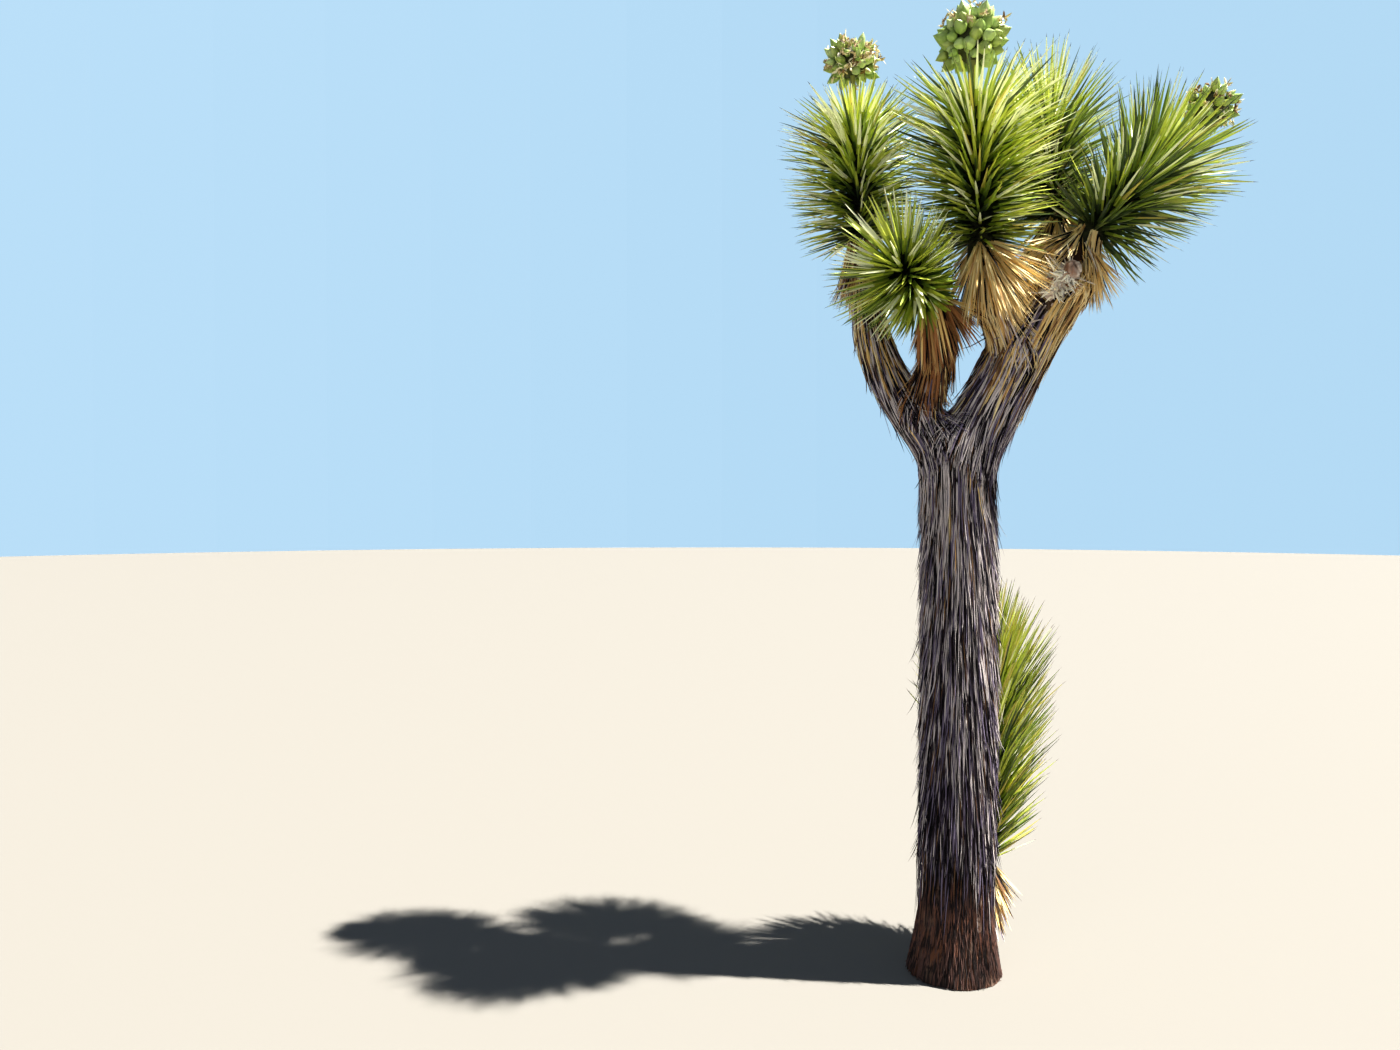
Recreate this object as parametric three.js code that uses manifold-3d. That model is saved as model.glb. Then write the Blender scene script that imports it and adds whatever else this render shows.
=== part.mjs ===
// A joshua tree in fruit: a thatched trunk that forks into two boughs, five heads of bayonet leaves
// on short stems, and a young shoot of the same root close behind the foot of the trunk.
// Millimetres, +Z up. The origin is the middle of the flat cut at ground level. For someone who
// faces the fork, +X is to the right and +Y is away from them.
import * as THREE from "three";
import { mergeVertices } from "three/addons/utils/BufferGeometryUtils.js";
import Module from "manifold-3d";

const wasm = await Module();
wasm.setup();

const at = (x, y, z) => new THREE.Vector3(x, y, z);
const UP = at(0, 0, 1);
const SIDEWAYS = at(1, 0, 0);
const radians = THREE.MathUtils.degToRad;
const mix = THREE.MathUtils.lerp;

// Driving dimensions.
const FORK_HEIGHT = 1790;
const FORK_OFFSET = 6;
const TRUNK_BOW = 26;
const TRUNK_RADIUS = 124;
const FLARE_RADIUS = 158;
const BOUGH_RADIUS = 117;
const STEM_RADIUS = 54;
const LEAF_LENGTH = 285;
const LEAF_WIDTH = 34;
const LEAF_THICKNESS = 9;
const CORE_RADIUS = 94;
const COLLAR_BULGE = 14;
const FRUIT_LENGTH = 84;
const STALK_RADIUS = 14;

// How much leaves vary: in the turn (radians), in the lean (degrees), and in the share of length.
const TURN_SPREAD = 0.3;
const LEAN_SPREAD = 10;
const LENGTH_SPREAD = 0.16;

// A fruit's outline from foot to beak, as [radius, height] in shares of its length.
const FRUIT_OUTLINE = [
  [0, 0],
  [0.26, 0.14],
  [0.36, 0.45],
  [0.25, 0.78],
  [0, 1],
];

// Clearances: between pieces that touch, between a leaf and what it passes, and how much nearer a
// leaf's tip stays to its own head's axis than to another's.
const GAP = 0.3;
const LEAF_GAP = 1;
const SPACE_MARGIN = 14;

// The lowest green leaf's height over the collar, and the topmost one's depth below the core's tip.
const FIRST_LEAF = 22;
const LAST_LEAF = 8;

// Dead leaves grow from this stretch of the collar, in shares of its length. They are narrower than
// green ones, by this share, and the upper ones are longer than the lower ones, by this share.
const SKIRT_FROM = 0.2;
const SKIRT_TO = 0.9;
const DEAD_WIDTH = 0.8;
const DEAD_GROWTH = 0.1;

// How far a leaf's upper face is turned back towards its head's axis.
const FACE_TILT = 0.3;

// How far out a leaf's foot is, in shares of the radius of the core or the collar that it grows from.
const GREEN_FOOT = 0.35;
const DEAD_FOOT = 0.84;

// A leaf without room is shortened by this share of its length at a time, down to the least share.
const LEAF_STEP = 0.1;
const LEAST_LEAF = 0.45;

// The trunk's thatch lies in tiers. The tips of each stand out over the roots of the one below, a
// lip's height above them, and every other tuft of a tier stands further out and hangs lower.
const LOWEST_TIER = 380;
const TIER_COUNT = 13;
const TIER_HEIGHT = 96;
const TIER_LIP = 18;
const TIP_RISE = 7;
const ROOT_DEPTH = 13;
const TUFT = 5;

// A limb's foot starts this far below the ground, and is then cut flat by a block of these sizes.
const FOOT_DEPTH = 40;
const CUT_WIDTH = 2000;
const CUT_DEPTH = 500;

// The fruit's feet and their cluster's core, in shares of the cluster's radius and half height, and
// how far the fruit turn upwards. The lowest and highest fruit are in shares of the half height.
const FRUIT_FOOT = 0.54;
const CLUSTER_CORE = 0.78;
const FRUIT_LIFT = 0.25;
const LOWEST_FRUIT = -0.84;
const HIGHEST_FRUIT = 0.96;

const TRUNK_SIDES = 16;
const LIMB_SIDES = 12;
const LIMB_STEPS = 8;
const CORE_SIDES = 8;
const FRUIT_SIDES = 6;
const STALK_SIDES = 6;
const GOLDEN_ANGLE = Math.PI * (3 - Math.sqrt(5));

// The width and the depth of a triangle in a circle of radius 1.
const TRIANGLE_WIDTH = Math.sqrt(3);
const TRIANGLE_DEPTH = 1.5;

// Profiles are lists of [position, value], with straight lines between.

// The core's radius in shares of CORE_RADIUS. It fills the part of a head that is dense with leaf
// bases.
const CORE_PROFILE = [
  [0, 0.72],
  [0.3, 1],
  [0.72, 0.84],
  [1, 0.36],
];

// Green leaves' length in shares of their head's leaf length: in an open head, in the one that faces
// forward, in an upright one with fruit on its tip, in the leaning one, and in the shoot.
const OPEN_LENGTH = [
  [0, 0.8],
  [0.35, 0.92],
  [0.7, 1],
  [1, 0.95],
];
const FORWARD_LENGTH = [
  [0, 0.55],
  [0.3, 0.74],
  [0.6, 1],
  [1, 0.95],
];
const FRUITING_LENGTH = [
  [0, 0.76],
  [0.35, 0.92],
  [0.7, 1],
  [0.88, 1.06],
  [0.95, 0.8],
  [1, 0.55],
];
const LEANING_LENGTH = [
  [0, 0.7],
  [0.25, 0.76],
  [0.5, 0.88],
  [0.75, 1.02],
  [0.86, 0.92],
  [0.94, 0.62],
  [1, 0.45],
];
const SHOOT_LENGTH = [
  [0, 0.52],
  [0.15, 0.66],
  [0.45, 0.96],
  [0.8, 1],
  [1, 0.85],
];

// Leaves' lean from their head's axis in degrees: green leaves in an upright head, in one with fruit
// on its tip, in the leaning one and in the shoot, and dead leaves in a skirt like most, in a wide
// one and in a close one.
const OPEN_LEAN = [
  [0, 106],
  [0.3, 90],
  [0.6, 75],
  [0.84, 60],
  [0.94, 42],
  [1, 10],
];
const FRUITING_LEAN = [
  [0, 106],
  [0.3, 90],
  [0.6, 78],
  [0.84, 67],
  [0.94, 57],
  [1, 36],
];
const LEANING_LEAN = [
  [0, 100],
  [0.25, 76],
  [0.5, 61],
  [0.75, 49],
  [0.9, 41],
  [1, 22],
];
const SHOOT_LEAN = [
  [0, 56],
  [0.12, 44],
  [0.5, 38],
  [0.75, 33],
  [0.9, 23],
  [1, 5],
];
const DEAD_LEAN = [
  [0, 166],
  [0.5, 152],
  [1, 128],
];
const WIDE_DEAD_LEAN = [
  [0, 162],
  [0.5, 144],
  [1, 120],
];
const CLOSE_DEAD_LEAN = [
  [0, 170],
  [0.5, 160],
  [1, 146],
];

// The trunk's radius over its thatch, as [height, radius]. The thatch has worn off near the ground.
const TRUNK_PROFILE = [
  [-FOOT_DEPTH, FLARE_RADIUS + 8],
  [0, FLARE_RADIUS],
  [70, FLARE_RADIUS - 14],
  [190, TRUNK_RADIUS + 2],
  [340, TRUNK_RADIUS - 8],
  [560, TRUNK_RADIUS],
  [1100, TRUNK_RADIUS + 1],
  [1600, TRUNK_RADIUS - 1],
  [FORK_HEIGHT, TRUNK_RADIUS - 3],
];

// The shoot stands against the flare, away to the right and behind.
const SHOOT_BEARING = radians(44);
const SHOOT_RADIUS = 56;
const SHOOT_SUNK = 5;
const SHOOT_REACH = FLARE_RADIUS + SHOOT_RADIUS - SHOOT_SUNK;
const SHOOT_FOOT = at(Math.cos(SHOOT_BEARING) * SHOOT_REACH, Math.sin(SHOOT_BEARING) * SHOOT_REACH, 0);

// Limbs are cubic curves. Each leaves its foot along `leaves` and arrives at its neck along
// `heading`, and the two bends say how far it keeps to each.
const LIMBS = {
  bough_right: {
    foot: at(FORK_OFFSET, 0, FORK_HEIGHT - 40),
    leaves: at(0.56, 0, 0.83),
    neck: at(385, 0, 2400),
    heading: at(0.55, 0, 0.835),
    bends: [165, 250],
    radii: [BOUGH_RADIUS, BOUGH_RADIUS - 27],
  },
  bough_left: {
    foot: at(-20, 0, FORK_HEIGHT + 10),
    leaves: at(-0.8, 0, 0.6),
    neck: at(-296, 140, 2430),
    heading: at(-0.055, 0.01, 1),
    bends: [250, 250],
    radii: [82, STEM_RADIUS],
  },
  stem_right: {
    foot: at(345, 0, 2335),
    leaves: at(0.4, 0, 0.917),
    neck: at(412, 5, 2490),
    heading: at(0.695, 0.06, 0.716),
    bends: [60, 50],
    radii: [84, STEM_RADIUS + 4],
  },
  stem_centre: {
    foot: at(190, -15, 2090),
    leaves: at(-0.15, -0.3, 0.94),
    neck: at(64, -95, 2360),
    heading: at(-0.05, -0.01, 1),
    bends: [110, 60],
    radii: [70, STEM_RADIUS],
  },
  stem_back: {
    foot: at(300, 20, 2260),
    leaves: at(0.2, 0.75, 0.63),
    neck: at(434, 226, 2545),
    heading: at(-0.11, 0.02, 1),
    bends: [130, 130],
    radii: [66, STEM_RADIUS - 4],
  },
  stem_front: {
    foot: at(-118, 0, 1890),
    leaves: at(0, -0.12, 1),
    neck: at(-76, -88, 2256),
    heading: at(-0.66, -0.52, 0.54),
    bends: [150, 90],
    radii: [60, STEM_RADIUS - 8],
  },
  dead_stub: {
    foot: at(290, -52, 2318),
    leaves: at(0.5, -0.5, 0.7),
    neck: at(384, -116, 2410),
    heading: at(0.8, -0.25, 0.54),
    bends: [45, 45],
    radii: [46, 26],
  },
  shoot_stem: {
    foot: SHOOT_FOOT.clone().setZ(-FOOT_DEPTH),
    leaves: UP,
    neck: SHOOT_FOOT.clone().add(at(2, 8, 110)),
    heading: at(0.01, 0.045, 1),
    bends: [60, 40],
    radii: [SHOOT_RADIUS + 4, STEM_RADIUS - 8],
  },
};

// A head goes on from its limb's neck: a collar of dead leaves, then a core of green ones, then the
// fruit on its stalk. `girth` scales the core's radius. Of the dead leaves, `deadLean` is the lean,
// `deadLength` the share of the leaf length, and `sag` how far gravity pulls them down. Leaves that
// point to the right, into the crown, are shorter by up to the share `crowding`.
const HEADS = {
  left: {
    limb: "bough_left",
    collar: 110,
    core: 425,
    girth: 0.92,
    leafLength: LEAF_LENGTH * 0.88,
    lean: FRUITING_LEAN,
    lengths: FRUITING_LENGTH,
    greens: 116,
    deads: 28,
    deadLean: DEAD_LEAN,
    deadLength: 0.66,
    sag: 1.6,
    fruit: { stalk: 147, halfHeight: 72, radius: 98, count: 12, size: 0.8 },
    seed: 11,
  },
  front: {
    limb: "stem_front",
    collar: 55,
    core: 195,
    girth: 0.8,
    leafLength: LEAF_LENGTH * 0.9,
    lean: OPEN_LEAN,
    lengths: FORWARD_LENGTH,
    greens: 84,
    deads: 38,
    deadLean: CLOSE_DEAD_LEAN,
    deadLength: 0.86,
    sag: 2.6,
    crowding: 0.45,
    seed: 23,
  },
  centre: {
    limb: "stem_centre",
    collar: 110,
    core: 455,
    girth: 1.05,
    leafLength: LEAF_LENGTH * 1.05,
    lean: FRUITING_LEAN,
    lengths: FRUITING_LENGTH,
    greens: 134,
    deads: 50,
    deadLean: WIDE_DEAD_LEAN,
    deadLength: 0.78,
    sag: 0,
    fruit: { stalk: 144, halfHeight: 84, radius: 104, count: 20, size: 1 },
    seed: 37,
  },
  back: {
    limb: "stem_back",
    collar: 100,
    core: 375,
    girth: 0.95,
    leafLength: LEAF_LENGTH * 1.05,
    lean: OPEN_LEAN,
    lengths: OPEN_LENGTH,
    greens: 106,
    deads: 28,
    deadLean: DEAD_LEAN,
    deadLength: 0.78,
    sag: 0.1,
    seed: 41,
  },
  right: {
    limb: "stem_right",
    collar: 55,
    core: 415,
    girth: 0.95,
    leafLength: LEAF_LENGTH * 1.08,
    lean: LEANING_LEAN,
    lengths: LEANING_LENGTH,
    greens: 116,
    deads: 34,
    deadLean: CLOSE_DEAD_LEAN,
    deadLength: 0.7,
    sag: 0.9,
    fruit: { stalk: 150, halfHeight: 68, radius: 78, count: 11, size: 0.8 },
    seed: 53,
  },
  shoot: {
    limb: "shoot_stem",
    collar: 200,
    core: 720,
    girth: 0.72,
    leafLength: LEAF_LENGTH * 1.35,
    lean: SHOOT_LEAN,
    lengths: SHOOT_LENGTH,
    greens: 120,
    deads: 26,
    deadLean: DEAD_LEAN,
    deadLength: 0.32,
    sag: 0.15,
    seed: 67,
  },
};

// The finish of each kind of piece.
const LOOKS = {
  bark: { color: 0x6b5c52, roughness: 0.95, metalness: 0 },
  thatch: { color: 0x8d7a68, roughness: 0.95, metalness: 0 },
  driedStalk: { color: 0x948b7e, roughness: 0.9, metalness: 0 },
  deadLeaf: { color: 0xc09a63, roughness: 0.85, metalness: 0 },
  greenLeaf: { color: 0x86973a, roughness: 0.5, metalness: 0 },
  fruit: { color: 0xa3b972, roughness: 0.55, metalness: 0 },
};
const materials = Object.fromEntries(
  Object.entries(LOOKS).map(([name, look]) => [name, new THREE.MeshStandardMaterial(look)]),
);

const LIMB_MATERIALS = { trunk: materials.bark, dead_stub: materials.driedStalk };

const tree = new THREE.Group();

// The finished solids by name, for what comes later to keep clear of.
const claimed = new Map();

// Random numbers from 0 to 1 that are the same on every run (mulberry32).
function seededRandom(seed) {
  let state = seed;
  return () => {
    state = (state + 0x6d2b79f5) | 0;
    let t = Math.imul(state ^ (state >>> 15), 1 | state);
    t = (t + Math.imul(t ^ (t >>> 7), 61 | t)) ^ t;
    return ((t ^ (t >>> 14)) >>> 0) / 4294967296;
  };
}

// The value of a profile at a position.
function valueAt(profile, position) {
  const next = profile.findIndex(([end], i) => i > 0 && position <= end);
  const [[p0, v0], [p1, v1]] = profile.slice(next - 1, next + 1);
  return mix(v0, v1, (position - p0) / (p1 - p0));
}

// A closed three.js geometry as a solid that can be joined and cut.
function solidOf(geometry) {
  const bare = geometry.clone();
  bare.deleteAttribute("normal");
  bare.deleteAttribute("uv");
  const merged = mergeVertices(bare, 1e-4);
  return new wasm.Manifold(
    new wasm.Mesh({
      numProp: 3,
      vertProperties: new Float32Array(merged.attributes.position.array),
      triVerts: new Uint32Array(merged.index.array),
    }),
  );
}

function addPiece(name, solid, material) {
  const { vertProperties, triVerts } = solid.getMesh();
  const geometry = new THREE.BufferGeometry()
    .setAttribute("position", new THREE.BufferAttribute(vertProperties, 3))
    .setIndex(new THREE.BufferAttribute(triVerts, 1));
  geometry.computeVertexNormals();
  const mesh = new THREE.Mesh(geometry, material);
  mesh.name = name;
  tree.add(mesh);
}

// Two directions square to `along`, the same way round everywhere on the tree.
function crossAxes(along) {
  const across = along.clone().cross(SIDEWAYS).normalize();
  const out = across.clone().cross(along);
  return { across, out };
}

// Moves a geometry's vertices: `place` gives each vertex's new position.
function reshape(geometry, place) {
  const position = geometry.attributes.position;
  const vertex = new THREE.Vector3();
  for (let i = 0; i < position.count; i++) {
    const moved = place(vertex.fromBufferAttribute(position, i));
    position.setXYZ(i, moved.x, moved.y, moved.z);
  }
  return geometry;
}

// A closed tube round a curve. Each station is [share of the curve's length, radius, tuft], where a
// tuft pushes every other corner out and back, and the rest the other way. `grow` makes the whole
// tube larger, to cut what touches it.
function tube(curve, stations, sides, grow = 0) {
  const steps = stations.length - 1;
  const rings = stations.map(([share, radius, tuft = 0]) => {
    const along = curve.getTangentAt(share);
    return { centre: curve.getPointAt(share), radius: radius + grow, tuft, along, ...crossAxes(along) };
  });
  rings[0].centre.addScaledVector(rings[0].along, -grow);
  rings[steps].centre.addScaledVector(rings[steps].along, grow);
  return solidOf(
    reshape(new THREE.CylinderGeometry(1, 1, 1, sides, steps), (vertex) => {
      const { centre, radius, tuft, along, across, out } = rings[Math.round((vertex.y + 0.5) * steps)];
      const corner = Math.round((Math.atan2(vertex.x, vertex.z) / (2 * Math.PI)) * sides);
      const push = corner % 2 ? tuft : -tuft;
      return centre
        .clone()
        .addScaledVector(across, vertex.x * (radius + push))
        .addScaledVector(out, vertex.z * (radius + push))
        .addScaledVector(along, -push);
    }),
  );
}

function evenStations(from, to, steps) {
  return Array.from({ length: steps + 1 }, (_, i) => [i / steps, mix(from, to, i / steps)]);
}

// The part of a solid above the ground, cut flat.
function aboveGround(solid) {
  const below = new THREE.BoxGeometry(CUT_WIDTH, CUT_WIDTH, CUT_DEPTH).translate(0, 0, -CUT_DEPTH / 2);
  return solid.subtract(solidOf(below));
}

function largestBody(solid) {
  return solid.decompose().sort((a, b) => b.volume() - a.volume())[0];
}

// The trunk leans by a few millimetres as it rises, so its curve's share of height is its share of
// length.
function trunkLimb() {
  const curve = new THREE.QuadraticBezierCurve3(
    at(0, 0, -FOOT_DEPTH),
    at(TRUNK_BOW, 0, FORK_HEIGHT * 0.45),
    at(FORK_OFFSET, 0, FORK_HEIGHT),
  );
  const whole = FORK_HEIGHT + FOOT_DEPTH;
  const bare = TRUNK_PROFILE.filter(([height]) => height < LOWEST_TIER);
  const top = TRUNK_PROFILE[TRUNK_PROFILE.length - 1];
  const stations = [...bare, ...trunkTiers(), top].map(([height, radius, tuft = 0]) => [
    (height + FOOT_DEPTH) / whole,
    radius,
    tuft,
  ]);
  return { name: "trunk", curve, stations, sides: TRUNK_SIDES };
}

// The thatch's tiers from the lowest up, each as the roots below it and its tips, as [height, radius,
// tuft]. Under the lowest there is bare bark.
function trunkTiers() {
  return Array.from({ length: TIER_COUNT }, (_, i) => {
    const height = LOWEST_TIER + i * TIER_HEIGHT;
    const radius = valueAt(TRUNK_PROFILE, height);
    const roots = [height, i > 0 ? radius - ROOT_DEPTH : radius];
    return [roots, [height + TIER_LIP, radius + TIP_RISE, i % 2 ? TUFT : -TUFT]];
  }).flat();
}

function curvedLimb([name, { foot, leaves, neck, heading, bends, radii }]) {
  const curve = new THREE.CubicBezierCurve3(
    foot,
    foot.clone().addScaledVector(leaves.clone().normalize(), bends[0]),
    neck.clone().addScaledVector(heading.clone().normalize(), -bends[1]),
    neck,
  );
  return { name, curve, stations: evenStations(...radii, LIMB_STEPS), sides: LIMB_SIDES };
}

// Each limb is cut clear of the limbs made before it, so that its foot sits on them.
function addLimbs(limbs) {
  const grown = [];
  for (const { name, curve, stations, sides } of limbs) {
    let solid = aboveGround(tube(curve, stations, sides));
    for (const other of grown) solid = solid.subtract(other);
    solid = largestBody(solid);
    claimed.set(name, solid);
    addPiece(name, solid, LIMB_MATERIALS[name] ?? materials.thatch);
    grown.push(tube(curve, stations, sides, GAP));
  }
}

// A head's axis goes straight on from its limb's neck.
function placeHead([name, spec]) {
  const { neck, heading, radii } = LIMBS[spec.limb];
  const along = heading.clone().normalize();
  return {
    name,
    ...spec,
    neck,
    along,
    ...crossAxes(along),
    collarProfile: evenStations(radii[1] + COLLAR_BULGE, radii[1] + COLLAR_BULGE / 2, 1),
    coreProfile: CORE_PROFILE.map(([share, part]) => [share, part * spec.girth * CORE_RADIUS]),
    top: spec.collar + spec.core,
  };
}

// A stretch of a head's axis, between two distances from its neck.
function stretch(head, from, to) {
  return new THREE.LineCurve3(
    head.neck.clone().addScaledVector(head.along, from),
    head.neck.clone().addScaledVector(head.along, to),
  );
}

// The direction square to a head's axis at a turn round it.
function radialAt(head, turn) {
  return head.out.clone().multiplyScalar(Math.cos(turn)).addScaledVector(head.across, Math.sin(turn));
}

// The distance from a point to a chain of points.
function distanceTo(point, chain) {
  const segment = new THREE.Line3();
  const nearest = new THREE.Vector3();
  let least = Infinity;
  for (let i = 1; i < chain.length; i++) {
    segment.set(chain[i - 1], chain[i]).closestPointToPoint(point, true, nearest);
    least = Math.min(least, point.distanceTo(nearest));
  }
  return least;
}

// A head's own space is what lies nearer to its axis than to any other head's.
function isInSpaceOf(head, point) {
  const own = distanceTo(point, axes.get(head.name));
  for (const [name, chain] of axes) {
    if (name !== head.name && distanceTo(point, chain) < own + SPACE_MARGIN) return false;
  }
  return true;
}

function isClear(solid, ownName) {
  for (const [name, other] of claimed) {
    if (name !== ownName && other.minGap(solid, LEAF_GAP) < LEAF_GAP) return false;
  }
  return true;
}

// A blade of three sides, keeled below and flat above, that tapers from its foot in the core.
function leafSolid({ foot, direction, above, width }, length) {
  const across = above.clone().cross(direction).normalize();
  const below = across.clone().cross(direction);
  const blade = reshape(new THREE.ConeGeometry(1, 1, 3), (vertex) =>
    foot
      .clone()
      .addScaledVector(across, (vertex.x * width) / TRIANGLE_WIDTH)
      .addScaledVector(direction, (vertex.y + 0.5) * length)
      .addScaledVector(below, (vertex.z * LEAF_THICKNESS) / TRIANGLE_DEPTH),
  );
  return solidOf(blade);
}

// A leaf as long as its space and its neighbours let it be, or nothing where that is too short.
function fittedLeaf(leaf, head, pieceName) {
  for (let share = 1; share >= LEAST_LEAF; share -= LEAF_STEP) {
    const tip = leaf.foot.clone().addScaledVector(leaf.direction, leaf.length * share);
    if (tip.z < LEAF_WIDTH || !isInSpaceOf(head, tip)) continue;
    const solid = leafSolid(leaf, leaf.length * share);
    if (isClear(solid, pieceName)) return solid;
  }
  return null;
}

// Leaves in a spiral up a stretch of a head's axis, each a golden angle on from the last. `lean` and
// `length` are profiles over the stretch, from 0 at its foot to 1 at its tip.
function spiralLeaves(head, { from, to, count, girth, footShare, width, lean, length, sag, seed }) {
  const random = seededRandom(seed);
  return Array.from({ length: count }, (_, i) => {
    const share = (i + 0.5) / count;
    const radial = radialAt(head, i * GOLDEN_ANGLE + (random() - 0.5) * TURN_SPREAD);
    const angle = radians(valueAt(lean, share) + (random() - 0.5) * LEAN_SPREAD);
    const direction = radial
      .clone()
      .multiplyScalar(Math.sin(angle))
      .addScaledVector(head.along, Math.cos(angle))
      .addScaledVector(UP, -sag)
      .normalize();
    const foot = head.neck
      .clone()
      .addScaledVector(head.along, mix(from, to, share))
      .addScaledVector(radial, valueAt(girth, share) * footShare);
    const above = head.along.clone().addScaledVector(radial, -FACE_TILT);
    const crowded = (head.crowding ?? 0) * Math.max(direction.x, 0);
    const varied = 1 - crowded + (random() - 0.5) * LENGTH_SPREAD;
    return { foot, direction, above, width, length: valueAt(length, share) * varied };
  });
}

function addLeafyPiece(name, head, leaves, material) {
  let solid = claimed.get(name);
  for (const leaf of leaves) {
    const blade = fittedLeaf(leaf, head, name);
    if (blade) solid = solid.add(blade);
  }
  solid = largestBody(solid);
  claimed.set(name, solid);
  addPiece(name, solid, material);
}

// What a head's leaves grow from: the collar of dead leaves, and the core of the green ones.
function claimCores(head) {
  const collar = stretch(head, GAP, head.collar);
  const core = stretch(head, head.collar + GAP, head.top);
  claimed.set(`skirt_${head.name}`, tube(collar, head.collarProfile, LIMB_SIDES));
  claimed.set(`head_${head.name}`, tube(core, head.coreProfile, CORE_SIDES));
}

// Dead leaves hang back round the neck.
function addSkirt(head) {
  const longest = head.leafLength * head.deadLength;
  const leaves = spiralLeaves(head, {
    from: head.collar * SKIRT_FROM,
    to: head.collar * SKIRT_TO,
    count: head.deads,
    girth: head.collarProfile,
    footShare: DEAD_FOOT,
    width: LEAF_WIDTH * DEAD_WIDTH,
    lean: head.deadLean,
    length: evenStations(longest * (1 - DEAD_GROWTH), longest, 1),
    sag: head.sag,
    seed: head.seed * 7,
  });
  addLeafyPiece(`skirt_${head.name}`, head, leaves, materials.deadLeaf);
}

// Green leaves spread from the core, and close up round its tip.
function addHead(head) {
  const leaves = spiralLeaves(head, {
    from: head.collar + FIRST_LEAF,
    to: head.top - LAST_LEAF,
    count: head.greens,
    girth: head.coreProfile,
    footShare: GREEN_FOOT,
    width: LEAF_WIDTH,
    lean: head.lean,
    length: head.lengths.map(([share, part]) => [share, part * head.leafLength]),
    sag: 0,
    seed: head.seed,
  });
  addLeafyPiece(`head_${head.name}`, head, leaves, materials.greenLeaf);
}

// One fruit: a capsule with a blunt beak.
function fruitSolid(foot, direction, length) {
  const outline = FRUIT_OUTLINE.map(([radius, height]) => new THREE.Vector2(radius, height));
  const turn = new THREE.Quaternion().setFromUnitVectors(at(0, 1, 0), direction);
  const capsule = new THREE.LatheGeometry(outline, FRUIT_SIDES)
    .scale(length, length, length)
    .applyQuaternion(turn)
    .translate(foot.x, foot.y, foot.z);
  return solidOf(capsule);
}

// A dense cluster of fruit round the tip of its stalk. The fruit stand out of a smaller core.
function addFruit(head) {
  const { stalk, halfHeight, radius, count, size } = head.fruit;
  const name = `fruit_${head.name}`;
  const middle = stretch(head, 0, head.top + stalk + halfHeight).v2;
  const turn = new THREE.Quaternion().setFromUnitVectors(UP, head.along);
  const core = new THREE.IcosahedronGeometry(1, 1)
    .scale(radius * CLUSTER_CORE, radius * CLUSTER_CORE, halfHeight * CLUSTER_CORE)
    .applyQuaternion(turn)
    .translate(middle.x, middle.y, middle.z);
  const stem = stretch(head, head.top + GAP, head.top + stalk + halfHeight);
  let solid = tube(stem, evenStations(STALK_RADIUS, STALK_RADIUS, 1), STALK_SIDES).add(solidOf(core));
  for (let i = 0; i < count; i++) {
    const height = mix(LOWEST_FRUIT, HIGHEST_FRUIT, (i + 0.5) / count);
    const level = Math.sqrt(1 - height * height);
    const radial = radialAt(head, i * GOLDEN_ANGLE);
    const foot = middle
      .clone()
      .addScaledVector(radial, radius * FRUIT_FOOT * level)
      .addScaledVector(head.along, halfHeight * FRUIT_FOOT * height);
    const direction = radial
      .multiplyScalar(level)
      .addScaledVector(head.along, height + FRUIT_LIFT)
      .normalize();
    solid = solid.add(fruitSolid(foot, direction, FRUIT_LENGTH * size));
  }
  solid = largestBody(solid);
  claimed.set(name, solid);
  addPiece(name, solid, materials.fruit);
}

const limbs = [trunkLimb(), ...Object.entries(LIMBS).map(curvedLimb)];
const heads = Object.entries(HEADS).map(placeHead);

// Each head's axis as a chain of points, from halfway up its limb to the core's tip.
const axes = new Map(
  heads.map((head) => {
    const { curve } = limbs.find(({ name }) => name === head.limb);
    const upperLimb = [0.5, 0.6, 0.7, 0.8, 0.9].map((share) => curve.getPointAt(share));
    return [head.name, [...upperLimb, head.neck, stretch(head, 0, head.top).v2]];
  }),
);

addLimbs(limbs);
heads.forEach(claimCores);
heads.filter((head) => head.fruit).forEach(addFruit);
heads.forEach(addSkirt);
heads.forEach(addHead);

export default tree;
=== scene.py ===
"""A joshua tree in fruit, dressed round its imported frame.

Bark with its relief replaces the limbs, and a thatch of dead leaves hangs over it. The heads grow
by the frame's own rule, carried finer: leaves in a golden spiral round each axis, with the same
profiles of length and lean. Metres, +Z up, +Y away from the camera.
"""
from math import radians

import bpy
import numpy as np
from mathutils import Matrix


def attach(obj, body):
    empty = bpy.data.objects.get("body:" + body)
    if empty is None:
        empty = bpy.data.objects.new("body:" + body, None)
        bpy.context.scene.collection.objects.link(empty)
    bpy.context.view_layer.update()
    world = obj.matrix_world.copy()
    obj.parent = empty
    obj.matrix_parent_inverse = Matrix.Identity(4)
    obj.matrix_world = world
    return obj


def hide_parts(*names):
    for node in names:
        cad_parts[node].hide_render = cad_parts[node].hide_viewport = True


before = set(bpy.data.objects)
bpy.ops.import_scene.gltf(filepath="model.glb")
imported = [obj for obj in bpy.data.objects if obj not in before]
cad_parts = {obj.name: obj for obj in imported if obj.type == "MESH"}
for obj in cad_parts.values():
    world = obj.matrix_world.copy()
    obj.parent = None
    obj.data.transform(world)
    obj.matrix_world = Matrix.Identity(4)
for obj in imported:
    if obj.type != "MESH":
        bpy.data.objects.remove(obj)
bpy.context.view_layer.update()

UP = np.array([0.0, 0.0, 1.0])
SIDEWAYS = np.array([1.0, 0.0, 0.0])
GOLDEN_ANGLE = np.pi * (3 - np.sqrt(5))

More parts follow.
